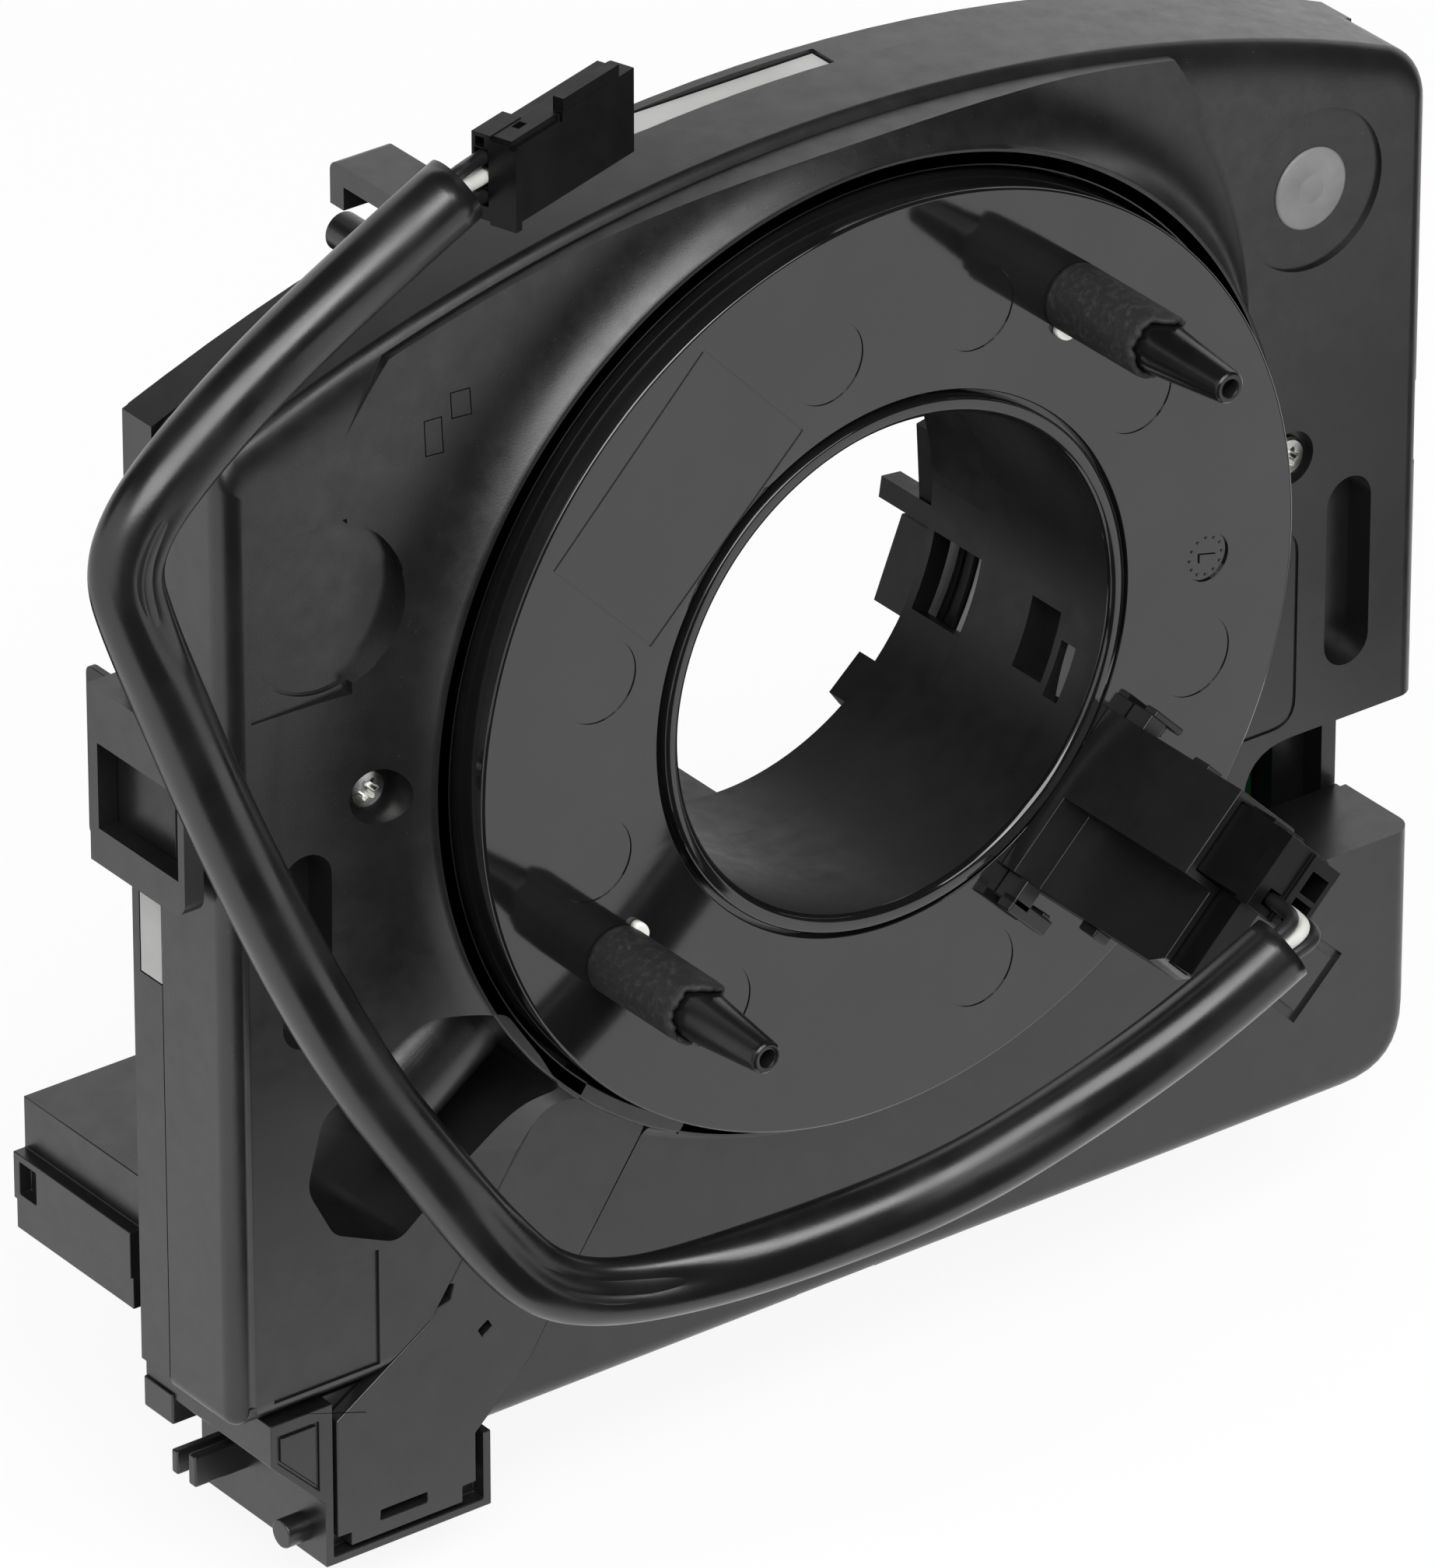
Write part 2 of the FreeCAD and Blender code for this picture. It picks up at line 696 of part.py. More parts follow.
def housing_outline(inset):
    """The housing's outline with its arched top, drawn in by the inset, and its arc."""
    inset = as_size(inset)
    left, right = D.CoverLeft - inset, D.CoverRight - inset
    radius = D.CrownRadius - inset
    middle = D.CrownTop - D.CrownRadius
    slope_across = D.BottomStep - D.BottomCorner
    slope_up = D.CoverBottom - D.LeftBottom
    slope = root(slope_across * slope_across + slope_up * slope_up)
    shift = inset * (slope - slope_across) / slope_up
    points = [
        (-left, inset - D.LeftBottom), (shift - D.BottomStep, inset - D.LeftBottom),
        (shift - D.BottomCorner, inset - D.CoverBottom), (right, inset - D.CoverBottom),
        (right, middle + root(radius * radius - right * right)),
        (-left, middle + root(radius * radius - left * left))]
    return points, {4: radius}


def channel_outline(gap):
    """The channel's outline in the cover, drawn in by the gap on its two long sides."""
    left = [(across + gap * 0.8, up - gap * 0.6) for across, up in CHANNEL_LEFT]
    right = [(across - gap * 0.8, up + gap * 0.6) for across, up in CHANNEL_RIGHT]
    return left, right


# Corners of the diagonal recess, and the half-round boss that lies in it along the bore's radius
RECESS = [(-46.2, -44.2), (-39.6, -38.6), (-39.2, -32.1), (-44.7, -25.0), (-50.2, -25.3), (-61.7, -32.8),
          (-63.6, -37.3), (-62.8, -42.7), (-52.3, -49.0)]
RECESS_BOSS_ANGLE = 215.5
RECESS_BOSS_HOLE = (-53.2, -32.6, 1.8)
LEFT_BADGE = (-60.8, 21.9)
LEFT_BADGE_PLATE = (-69.2, 12.4, -58.0, 30.8)
RIGHT_BADGE = (57.9, 29.8)


def grown(points, amount):
    """The points moved away from their middle by the amount."""
    middle = [sum(point[axis] for point in points) / len(points) for axis in (0, 1)]
    result = []
    for across, up in points:
        length = math.hypot(across - middle[0], up - middle[1])
        result.append((as_size(across) + amount * ((across - middle[0]) / length),
                       as_size(up) + amount * ((up - middle[1]) / length)))
    return result


# An arc across a slot is a hair flatter than a half circle, so that its two ends fix it
ROUND_END = 1.002


def pill(middle, bottom, top, radius):
    """An upright slot's outline with round ends, and its arcs."""
    low, high = bottom + radius, top - radius
    points = [(middle - radius, low), (middle + radius, low), (middle + radius, high), (middle - radius, high)]
    return points, {0: radius * ROUND_END, 2: radius * ROUND_END}


def ramp_profile():
    """The collar with the hollow ramp round it, which runs out into the plate."""
    steps = 8
    fall = 3.3
    level = math.exp(-fall)
    points = [(COVER_BORE, COLLAR_FRONT)]
    for step in range(steps + 1):
        way = (step / steps) ** 1.5
        rise = (math.exp(-fall * way) - level) / (1 - level)
        points.append((COLLAR + D.RampWidth * way, D.CoverFront - D.CollarProud * rise))
    back = D.CoverFront + 1
    return points + [(COLLAR + D.RampWidth, back), (COVER_BORE, back)]


def above_crown(inset):
    """What lies above the arched top, drawn in by the inset."""
    radius = D.CrownRadius - inset
    middle = D.CrownTop - D.CrownRadius
    reach = (COLLAR + D.RampWidth).number
    places = [reach * step / 6 for step in range(-6, 7)]
    line = [(across, middle + root(radius * radius - across * across)) for across in places]
    beyond = D.CrownTop + D.CutRoom
    return line + [(reach, beyond), (-reach, beyond)]


def make_front_cover():
    """The front moulding of the stator: plate, skirt, collar with its ramp, notch, badges and recess."""
    body = new_body("front_cover")
    points, arcs = housing_outline(0)
    prism(body, D.CoverFront, D.CoverDepth, points, arcs)
    right_corners = [points[3], points[4]]
    fillet(body, D.CornerRadius, lambda edge: along_y(edge, right_corners))
    fillet(body, D.LeftCornerRadius, lambda edge: along_y(edge, [points[5]]))
    fillet(body, D.EdgeRadius, lambda edge: in_plane(edge, D.CoverFront))

    inside, inside_arcs = housing_outline(D.CoverWall)
    sketch = new_sketch(body, "XZ_Plane", PLATE_BACK)
    draw_outline(sketch, inside, inside_arcs)
    draw_circle(sketch, 0, 0, COLLAR)
    pocket(body, sketch, D.CoverDepth)

    # walls behind the plate round whatever opens through it or sinks into it
    start, length = PLATE_BACK - 0.5, COVER_BACK - PLATE_BACK + 0.5
    wall = D.CoverWall
    prism(body, start, length, rectangle(
        D.NotchSide - wall, -D.NotchBottom - wall, D.CoverRight - wall / 2, wall - D.NotchTop))
    prism(body, start, length, grown(RECESS, wall))
    left, right = channel_outline(-1 * wall)
    ends = [(as_size(-60.2), wall - D.LeftBottom), (wall / 2 - D.BottomStep, wall - D.LeftBottom),
            (wall - D.BottomCorner, wall / 2 - D.CoverBottom)]
    prism(body, start, length, left[:3] + ends + right[1:])
    slots = [side * D.SlotSide for side in (-1, 1)]
    slot_bottom, half_slot = -D.SlotTop - D.SlotLength, D.SlotWidth / 2
    for middle in slots:
        prism(body, start, D.SlotDepth + 0.5, rectangle(
            middle - half_slot - wall, slot_bottom - wall, middle + half_slot + wall, wall - D.SlotTop))
    badges = [RIGHT_BADGE, LEFT_BADGE]
    round_bar(body, start, D.BadgeDepth + 0.5, [(*place, D.BadgeRadius + 1) for place in badges])
    round_bar(body, start, length, [(*place, D.BossRadius) for place in SCREW_PLACES])

    # the ramp, what opens through it, and the collar
    front = D.CoverFront
    above = D.CollarProud
    turned(body, ramp_profile())
    prism(body, COLLAR_FRONT - 1, above + D.EdgeRadius / 2 + 1, above_crown(D.EdgeRadius / 2), cut=True)
    round_bar(body, COLLAR_FRONT, COVER_BACK, [(0, 0, COVER_BORE)], cut=True)
    prism(body, COLLAR_FRONT, COVER_BACK, CHANNEL_LEFT + [(-46.0, -78.0)] + CHANNEL_RIGHT, cut=True)
    prism(body, COLLAR_FRONT, above + D.RecessDepth, RECESS, cut=True)
    turned(body, [(COVER_BORE, COLLAR_FRONT), (COLLAR, COLLAR_FRONT), (COLLAR, COVER_BACK),
                  (COVER_BORE, COVER_BACK)])
    side, far = D.NotchSide, D.CoverRight + 5
    notch = [(side, -D.NotchBottom), (far, -D.NotchBottom), (far, -D.NotchTop),
             (side + D.NotchRadius, -D.NotchTop), (side, -D.NotchTop - D.NotchRadius)]
    prism(body, COLLAR_FRONT, COVER_BACK, notch, {3: D.NotchRadius}, cut=True)

    # badges, slots, screw seats and small notches
    round_bar(body, COLLAR_FRONT, above + D.BadgeDepth, [(*place, D.BadgeRadius) for place in badges], cut=True)
    prism(body, front, D.BadgeDepth, rectangle(*LEFT_BADGE_PLATE), cut=True)
    for middle in slots:
        prism(body, COLLAR_FRONT, above + D.SlotDepth,
              *pill(middle, slot_bottom, -D.SlotTop, half_slot), cut=True)
    heads = [(*place, D.ScrewRadius + D.ScrewRoom) for place in SCREW_PLACES]
    shanks = [(*place, D.ShankRadius + D.ShankFit) for place in SCREW_PLACES]
    round_bar(body, COLLAR_FRONT, above + D.ScrewSink, heads, cut=True)
    round_bar(body, front, D.CoverDepth, shanks, cut=True)
    prism(body, front, D.CoverDepth, rectangle(D.CoverRight - 1, -4.9, D.CoverRight + 1, 4.4), cut=True)
    prism(body, front, D.CoverDepth, rectangle(-4.3, -D.CoverBottom - 1, 5.7, 0.8 - D.CoverBottom), cut=True)
    block(body, (-D.CoverLeft - D.LatchGap - D.LatchThickness / 2, D.NibFront, -D.NibDrop),
          (D.LatchGap + D.LatchThickness / 2 + 0.5, D.NibDepth, D.NibHeight))

    # the half-round boss in the recess starts inside the collar's wall
    radius = D.RecessBossRadius
    angle = math.radians(RECESS_BOSS_ANGLE)
    out = FreeCAD.Vector(math.cos(angle), 0, math.sin(angle))
    across = out.cross(FreeCAD.Vector(0, 1, 0))
    sketch = body.newObject("Sketcher::SketchObject", "Sketch")
    sketch.Placement = FreeCAD.Placement(
        out * COLLAR.number, FreeCAD.Rotation(across, FreeCAD.Vector(0, -1, 0), out))
    for axis, part in (("x", out.x), ("z", out.z)):
        bind(sketch, f"Placement.Base.{axis}", (COLLAR - D.RunGap) * part)
    low = front + D.RecessBossSink + radius
    floor = front + D.RecessDepth + 0.5
    draw_outline(sketch, [(-radius, -floor), (radius, -floor), (radius, -low), (-radius, -low)],
                 {2: radius * 1.05})
    boss = body.newObject("PartDesign::Pad", "Pad")
    boss.Profile = sketch
    bind(boss, "Length", D.RecessBossLength)
    round_bar(body, front, 6.0, [RECESS_BOSS_HOLE], cut=True)
    return body


def make_channel_cover():
    """The plain strip snapped over the cable channel, from the collar down to the tray."""
    body = new_body("channel_cover")
    left, right = channel_outline(D.ChannelGap)
    side = -D.TrayLeft + D.TrayRim + D.StripFit
    foot = D.TrayBottom - D.TrayRim - D.StripFit
    corner = D.BottomCorner + D.StripFit
    lower = [(side, -D.StripShoulder), (side, -foot), (-corner, -foot), (-corner, right[0][1])]
    points = left[:3] + lower + right[1:]
    prism(body, D.CoverFront, D.ChannelPlate, points)
    round_bar(body, D.CoverFront - 1, D.ChannelPlate + 2, [(0, 0, COLLAR + D.JointGap)], cut=True)
    slot = rectangle(-55.8, 2.0 - foot, -49.6, 2.9 - foot)
    prism(body, D.CoverFront - 1, D.ChannelPlate + 2, slot, cut=True)
    for across, up, turn in ((-44.2, -51.6, 1), (-47.6, -56.6, 1)):
        prism(body, D.CoverFront - 1, D.ChannelPlate + 2,
              [(across - 1.4, up - 1.6), (across + 0.9, up - 1.2), (across + 1.6, up + 0.9),
               (across - 0.6, up + 1.4)], cut=True)
    return body


def make_channel_tray():
    """The tray under the strip: a deep box below the housing and a channel floor up to the collar."""
    body = new_body("channel_tray")
    left, right = channel_outline(D.ChannelGap)
    gap = D.ChannelGap
    side, step = -D.TrayLeft, D.TrayStep
    shoulder = side - step
    top = -D.LeftBottom - gap
    box = [(shoulder, top), (shoulder, top - 4.6), (side, top - 4.6 - step), (side, -D.TrayBottom),
           (-D.TrayRight, -D.TrayBottom), (-D.TrayRight, -D.CoverBottom - gap),
           (-D.BottomCorner - gap, -D.CoverBottom - gap), (-D.BottomStep - gap / 2, top)]
    prism(body, D.CoverFront, D.TrayBack - D.CoverFront, box)
    floor_front = D.CoverFront + D.ChannelPlate
    floor = left[:3] + [(-56.0, top), (-56.0, top - 1.4), (-46.5, -72.0)] + right[1:]
    prism(body, floor_front, COVER_BACK - floor_front - D.JointGap, floor)
    round_bar(body, D.CoverFront, COVER_BACK, [(0, 0, COLLAR + D.JointGap)], cut=True)
    rim = D.TrayRim
    seat = [left[2], (side + rim, -66.6), (side + rim, rim - D.TrayBottom),
            (-D.BottomCorner, rim - D.TrayBottom), (-D.BottomCorner, right[0][1]), right[1], right[2]]
    prism(body, D.CoverFront - 1, D.ChannelPlate + 1, seat, cut=True)
    wall = D.TrayWall
    hollow = rectangle(side + wall, wall - D.TrayBottom, -D.BottomCorner - 1, -67.5 - wall)
    prism(body, floor_front + wall, D.TrayBack, hollow, cut=True)
    return body


def make_cover_screws():
    """Two screws through the cover's bosses into the rear housing."""
    body = new_body("cover_screws")
    body.AllowCompound = True
    head = D.CoverFront + D.ScrewSink
    heads = [(*place, D.ScrewRadius) for place in SCREW_PLACES]
    round_bar(body, D.CoverFront + 0.1, D.ScrewSink - 0.1, heads)
    round_bar(body, head, REAR_RIM_BACK - head - 1, [(*place, D.ShankRadius) for place in SCREW_PLACES])
    round_bar(body, D.CoverFront, 0.8, [(*place, 0.9) for place in SCREW_PLACES], cut=True)
    return body


def make_inner_carrier():
    """The light carrier plate between the two housings, with its tongues in the rear rim."""
    body = new_body("inner_carrier")
    points, arcs = housing_outline(D.RearInset + D.RearWall + D.TongueFit)
    prism(body, CARRIER_FRONT, D.CarrierThickness, points, arcs)
    tongue = D.CarrierThickness + D.TongueRise
    top = D.CrownTop - D.RearInset * 2
    prism(body, CARRIER_FRONT, tongue, rectangle(-D.TongueLeft, top - D.TongueHeight, D.TongueRight, top))
    prism(body, CARRIER_FRONT, tongue, rectangle(D.RearInset - D.CoverLeft, -20.0, 6 - D.CoverLeft, -9.0))
    room = D.NotchRadius
    notch = rectangle(D.NotchSide - room, -D.NotchBottom - room, D.CoverRight, room - D.NotchTop)
    prism(body, CARRIER_FRONT - 1, tongue + 2, notch, cut=True)
    holes = [(*place, D.ShankRadius + D.ShankFit) for place in SCREW_PLACES]
    round_bar(body, CARRIER_FRONT - 1, tongue + 2, [(0, 0, RING + D.CarrierBoreGap)] + holes, cut=True)
    return body


# The middle of the locating peg, below the hook
PEG = (-33.6, 39.5)


def make_rear_housing():
    """The rear moulding: rim, stepped box, catch frame, hook arm and locating peg."""
    body = new_body("rear_housing")
    points, arcs = housing_outline(D.RearInset)
    prism(body, CARRIER_FRONT, D.RearRimDepth, points, arcs)
    box, box_arcs = housing_outline(D.RearInset + D.RearStep)
    prism(body, REAR_RIM_BACK, D.RearBoxDepth, box, box_arcs)
    inside, inside_arcs = housing_outline(D.RearInset + D.RearWall)
    prism(body, CARRIER_FRONT - 1, SHELF_FRONT - CARRIER_FRONT + 1, inside, inside_arcs, cut=True)
    deep, deep_arcs = housing_outline(D.RearInset + D.RearStep + D.RearWall)
    prism(body, SHELF_FRONT, REAR_BACK - D.RearWall - SHELF_FRONT, deep, deep_arcs, cut=True)
    bosses = [(*place, D.BossRadius) for place in SCREW_PLACES]
    seat = REAR_BACK + D.SeatRise
    round_bar(body, CARRIER_BACK + D.JointGap, seat - CARRIER_BACK - D.JointGap, bosses)
    shanks = [(*place, D.ShankRadius + D.ShankFit) for place in SCREW_PLACES]
    round_bar(body, CARRIER_BACK, REAR_RIM_BACK - CARRIER_BACK, shanks, cut=True)
    round_bar(body, CARRIER_FRONT, REAR_BACK, [(0, 0, D.RearBoreRadius)], cut=True)

    fit = D.TongueFit
    rise = D.CarrierThickness + D.TongueRise + fit
    tongue_bottom = D.CrownTop - D.RearInset * 2 - D.TongueHeight
    prism(body, CARRIER_FRONT - 1, rise + 1, rectangle(
        -D.TongueLeft - fit, tongue_bottom - fit, D.TongueRight + fit, D.CrownTop + 2), cut=True)
    prism(body, CARRIER_FRONT - 1, rise + 1, rectangle(
        -D.CoverLeft - 2, -20.0 - fit, 6 - D.CoverLeft, fit - 9.0), cut=True)

    frame_side = -D.CoverLeft - D.LatchGap - D.LatchThickness
    back = REAR_RIM_BACK + D.LatchBack
    block(body, (frame_side, back - D.LatchLength, -D.LatchBottom),
          (D.LatchThickness, D.LatchLength, D.LatchTop + D.LatchBottom))
    block(body, (frame_side - 1, back - D.LatchLength + 1, -D.WindowBottom),
          (D.LatchThickness + 2, D.LatchLength - 2.4, D.WindowTop + D.WindowBottom), cut=True)
    front_corners = [(back - D.LatchLength, -D.LatchBottom), (back - D.LatchLength, D.LatchTop)]
    fillet(body, D.LatchRadius, lambda edge: along_x(edge, front_corners))
    for bottom, top in ((-D.LatchBottom, -D.WindowBottom), (D.WindowTop, D.LatchTop)):
        block(body, (frame_side + 1, back - D.LatchArm, bottom),
              (D.LatchThickness + 2.5, D.LatchArm, top - bottom))

    hook_top = D.CrownTop - D.RearStep - D.HookSet
    hook_end = REAR_RIM_BACK + D.HookReach
    block(body, (-D.HookLeft, REAR_RIM_BACK, hook_top - D.HookThickness),
          (D.HookWidth, D.HookReach, D.HookThickness))
    block(body, (-D.HookLeft, hook_end - D.HookThickness, hook_top - D.HookThickness - D.HookDrop),
          (D.HookWidth, D.HookThickness, D.HookDrop + 0.5))
    fillet(body, D.HookRadius, lambda edge: along_x(edge, [(hook_end, hook_top)]))
    round_bar(body, REAR_BACK - 1, D.PegReach + 1, [(*PEG, D.PegRadius)])
    return body


def make_rear_connector():
    """The open plug hood on the back of the rear housing."""
    body = new_body("rear_connector")
    left, top = -D.HoodLeft, -D.HoodTop
    right, bottom = D.HoodWidth + left, top - D.HoodHeight
    prism(body, REAR_BACK, D.HoodReach, rectangle(left, bottom, right, top))
    middle = (top + bottom) / 2
    block(body, (left - 1.4, REAR_BACK + D.HoodReach - 9, bottom + 0.8),
          (D.HoodWidth + 2.8, 9, middle - bottom - 1.6))
    wall = D.HoodWall
    prism(body, REAR_BACK + 2.5, D.HoodReach, rectangle(
        left + wall, bottom + wall, right - wall, top - wall), cut=True)
    return body


def contact_places():
    middle_across = D.HoodWidth / 2 - D.HoodLeft
    middle_up = -D.HoodTop - D.HoodHeight / 2
    return [(middle_across + D.ContactPitch * (index - 3.5), middle_up + row * (D.ContactPitch / 2))
            for row in (-1, 1) for index in range(8)]


def make_connector_pins():
    """The square contact pins in the rear hood."""
    body = new_body("connector_pins")
    body.AllowCompound = True
    half = D.ContactSide / 2
    sketch = new_sketch(body, "XZ_Plane", REAR_BACK + 2.5)
    for across, up in contact_places():
        draw_outline(sketch, rectangle(across - half, up - half, across + half, up + half))
    pad(body, sketch, D.ContactLength)
    return body


def make_sensor_board():
    """The circuit board round the bore, behind the code disc."""
    body = new_body("sensor_board")
    points, arcs = housing_outline(D.RearInset + D.RearStep + D.RearWall + D.BoardRoom)
    prism(body, BOARD_FRONT, D.BoardThickness, points, arcs)
    holes = [(*place, D.BossRadius + D.BoardRoom) for place in SCREW_PLACES]
    bore = (0, 0, D.RearBoreRadius + D.BoardBoreGap)
    round_bar(body, BOARD_FRONT - 1, D.BoardThickness + 2, [bore] + holes, cut=True)
    return body


def make_code_disc():
    """The slotted disc that turns with the drive ring through the light barrier."""
    body = new_body("code_disc")
    round_bar(body, CODE_FRONT, D.CodeDiscThickness, [(0, 0, D.CodeDiscRadius), (0, 0, RING + D.CodeDiscFit)])
    outer = D.CodeDiscRadius - D.CodeSlotMargin
    half = D.CodeSlotWidth / 2
    slot = prism(body, CODE_FRONT - 1, D.CodeDiscThickness + 2,
                 rectangle(outer - D.CodeSlotLength, -half, outer, half), cut=True)
    DOC.recompute()
    pattern = body.newObject("PartDesign::PolarPattern", "Slots")
    pattern.Originals = [slot]
    pattern.Axis = (slot.Profile[0], ["N_Axis"])
    pattern.Angle = 360
    bind(pattern, "Occurrences", D.CodeSlots)
    body.Tip = pattern
    return body


def make_light_barrier():
    """The forked light barrier on the board, round the edge of the code disc."""
    body = new_body("light_barrier")
    tilt_about_y(body, D.BarrierAngle)
    reach = D.CodeDiscRadius - D.CodeSlotLength - D.BarrierArm
    front, gap, half = CODE_FRONT - D.BarrierFront, D.BarrierGap, D.BarrierWidth / 2
    block(body, (reach, front, -half), (D.BarrierLength, BOARD_FRONT - front, D.BarrierWidth))
    block(body, (reach - 1, CODE_FRONT - gap, -half - 1),
          (D.CodeDiscRadius - reach + 1 + gap, D.CodeDiscThickness + gap * 2, D.BarrierWidth + 2), cut=True)
    return body


def make_cable_terminals():
    """The two ends of the flat cable: one clipped to the hub, one inside the collar."""
    half = D.TerminalSpan / 2
    inner = new_body("cable_terminal_inner")
    prism(inner, RIBBON_FRONT, D.RibbonWidth,
          *sector(HUB + 0.02, HUB + D.TerminalThickness, 30 - half, half + 30))
    outer = new_body("cable_terminal_outer")
    prism(outer, RIBBON_FRONT, D.RibbonWidth,
          *sector(RIBBON_OUTER + D.RibbonLead, COVER_BORE - 0.05, 225 - half / 2, 225 + half / 2))


def make_flat_cable():
    """The wound flat cable: half-turn arcs whose radius grows by half the pitch each time."""
    inner, outer = RIBBON_INNER.number, RIBBON_OUTER.number
    turns, thickness = SIZES["RibbonTurns"], SIZES["RibbonThickness"]
    growth = (outer - thickness - inner) / turns
    sides = []
    for side in (0.0, thickness):
        edges = []
        left, right = -inner - side, inner + side
        for index in range(2 * turns):
            upper = index % 2 == 0
            start, end = (right, left - growth) if upper else (left, right + growth)
            middle, radius = (start + end) / 2, abs(end - start) / 2
            height = radius if upper else -radius
            points = [FreeCAD.Vector(*point) for point in ((start, 0, 0), (middle, 0, height), (end, 0, 0))]
            edges.append(Part.Arc(*points).toShape())
            if upper:
                left = end
            else:
                right = end
        sides.append(edges)
    near, far = sides
    closing = [Part.makeLine(near[index].Vertexes[end].Point, far[index].Vertexes[end].Point)
               for index, end in ((0, 0), (-1, 1))]
    outline = Part.Wire(Part.__sortEdges__(near + far + closing))
    ribbon = Part.Face(outline).extrude(FreeCAD.Vector(0, SIZES["RibbonWidth"], 0))
    return new_feature("flat_cable", ribbon, FreeCAD.Vector(0, RIBBON_FRONT.number, 0))


# Cords

# The sleeve's route from the cable plug to the airbag plug
CORD_ROUTE = [
    (21.0, -33.6, -23.0), (13.0, -33.0, -27.5), (0.5, -30.5, -34.0), (-13.0, -26.5, -40.5),
    (-27.0, -22.0, -44.0), (-39.0, -18.0, -46.0), (-46.5, -15.5, -46.0), (-52.5, -14.0, -43.5),
    (-57.0, -12.5, -38.0), (-62.5, -10.5, -29.0), (-70.0, -8.5, -16.5), (-76.0, -7.0, -3.5),
    (-82.5, -5.5, 12.5), (-87.5, -4.5, 26.5), (-90.5, -4.0, 35.0), (-92.0, -3.5, 41.0),
    (-90.0, -3.5, 46.0), (-84.5, -3.0, 50.5), (-76.0, -3.0, 56.5), (-65.5, -3.0, 62.5),
    (-53.5, -3.0, 68.5)]
# The wires go on from the sleeve's two ends into the plugs
WIRES_BEFORE = [(26.13, -29.5, -19.98), (26.13, -32.4, -19.98), (24.6, -33.7, -20.9)]
WIRES_AFTER = [(-50.56, -1.39, 67.6), (-48.02, -0.58, 67.6)]

# Which way the three wires lie beside each other at the socket's plug, in the sleeve and at its end
SIDE_AT_SOCKET = (0.7071, 0, -0.7071)
SIDE_INTO_SLEEVE = (0.5, 0.7071, -0.5)
SIDE_IN_SLEEVE = (0, 1, 0)
SIDE_OUT_OF_SLEEVE = (-0.316, 0.7071, 0.632)
SIDE_AT_SLEEVE_END = (-0.447, 0, 0.894)
SIDE_AT_AIRBAG = (0, 0, 1)


def cord_path(points, label):
    """Straight runs joined by tangent arcs through the route's points."""
    points = [FreeCAD.Vector(*point) for point in points]
    edges = []
    start = points[0]
    radii = []
    for before, corner, after in zip(points, points[1:], points[2:]):
        towards, onwards = before - corner, after - corner
        reach = 0.45 * min(towards.Length, onwards.Length)
        enter = corner + towards.normalize() * reach
        leave = corner + onwards.normalize() * reach
        inward = (towards + onwards).normalize()
        half = towards.getAngle(onwards) / 2
        radius = reach * math.tan(half)
        radii.append(radius)
        middle = corner + inward * (radius / math.sin(half) - radius)
        edges.append(Part.LineSegment(start, enter).toShape())
        edges.append(Part.Arc(enter, middle, leave).toShape())
        start = leave
    edges.append(Part.LineSegment(start, points[-1]).toShape())
    path = Part.Wire(edges)
    print(label, "length", round(path.Length, 1), "radii", [round(radius, 1) for radius in radii])
    return path


def tube(path, radius):
    """A round bar along a path."""
    start = path.OrderedVertexes[0].Point
    direction = path.OrderedEdges[0].tangentAt(path.OrderedEdges[0].FirstParameter)
    profile = Part.Wire(Part.Circle(start, direction, radius).toShape())
    return path.makePipeShell([profile], True, True)


def new_feature(label, shape, place=FreeCAD.Vector()):
    """A sub-part whose shape is made by the code."""
    feature = DOC.addObject("Part::Feature", label.title().replace("_", ""))
    feature.Label = label
    feature.Shape = shape
    feature.Placement = FreeCAD.Placement(place, FreeCAD.Rotation())
    NODES.append(feature)
    return feature


def make_cable_sleeve():
    """The hollow sleeve round the airbag wires."""
    path = cord_path(CORD_ROUTE, "sleeve")
    shape = tube(path, SIZES["CordRadius"]).cut(tube(path, SIZES["CordBore"]))
    section = math.pi * (SIZES["CordRadius"] ** 2 - SIZES["CordBore"] ** 2)
    print("sleeve volume", round(shape.Volume, 1), "section times length", round(section * path.Length, 1))
    return new_feature("cable_sleeve", shape)


def wire_route(side):
    """The route of one wire, beside the middle one by -1, 0 or 1 times their spacing."""
    pitch, spacing = SIZES["WirePitch"], SIZES["WireSpacing"]
    inside = [(SIDE_IN_SLEEVE, spacing)] * (len(CORD_ROUTE) - 4)
    shifts = [(SIDE_AT_SOCKET, pitch), (SIDE_AT_SOCKET, pitch), (SIDE_AT_SOCKET, (pitch + spacing) / 2),
              (SIDE_AT_SOCKET, spacing), (SIDE_INTO_SLEEVE, spacing), *inside,
              (SIDE_OUT_OF_SLEEVE, spacing), (SIDE_AT_SLEEVE_END, spacing * 0.8),
              (SIDE_AT_AIRBAG, pitch), (SIDE_AT_AIRBAG, pitch)]
    route = WIRES_BEFORE + CORD_ROUTE + WIRES_AFTER
    return [tuple(place + side * apart * part for place, part in zip(point, way))
            for point, (way, apart) in zip(route, shifts)]


def make_airbag_wires():
    """Three wires inside the sleeve, running on into both plugs."""
    radius = SIZES["WireRadius"]
    wires = [tube(cord_path(wire_route(side), f"wire {side}"), radius) for side in (-1, 0, 1)]
    return new_feature("airbag_wires", Part.makeCompound(wires))


AIRBAG_PLUG_PLACE = (-48.77, -2.18, 67.6)
# The middle of the wires' seats in the plug's end: depth and height from the plug's own origin
WIRE_SEAT_PLACE = (1.3, 0.0)


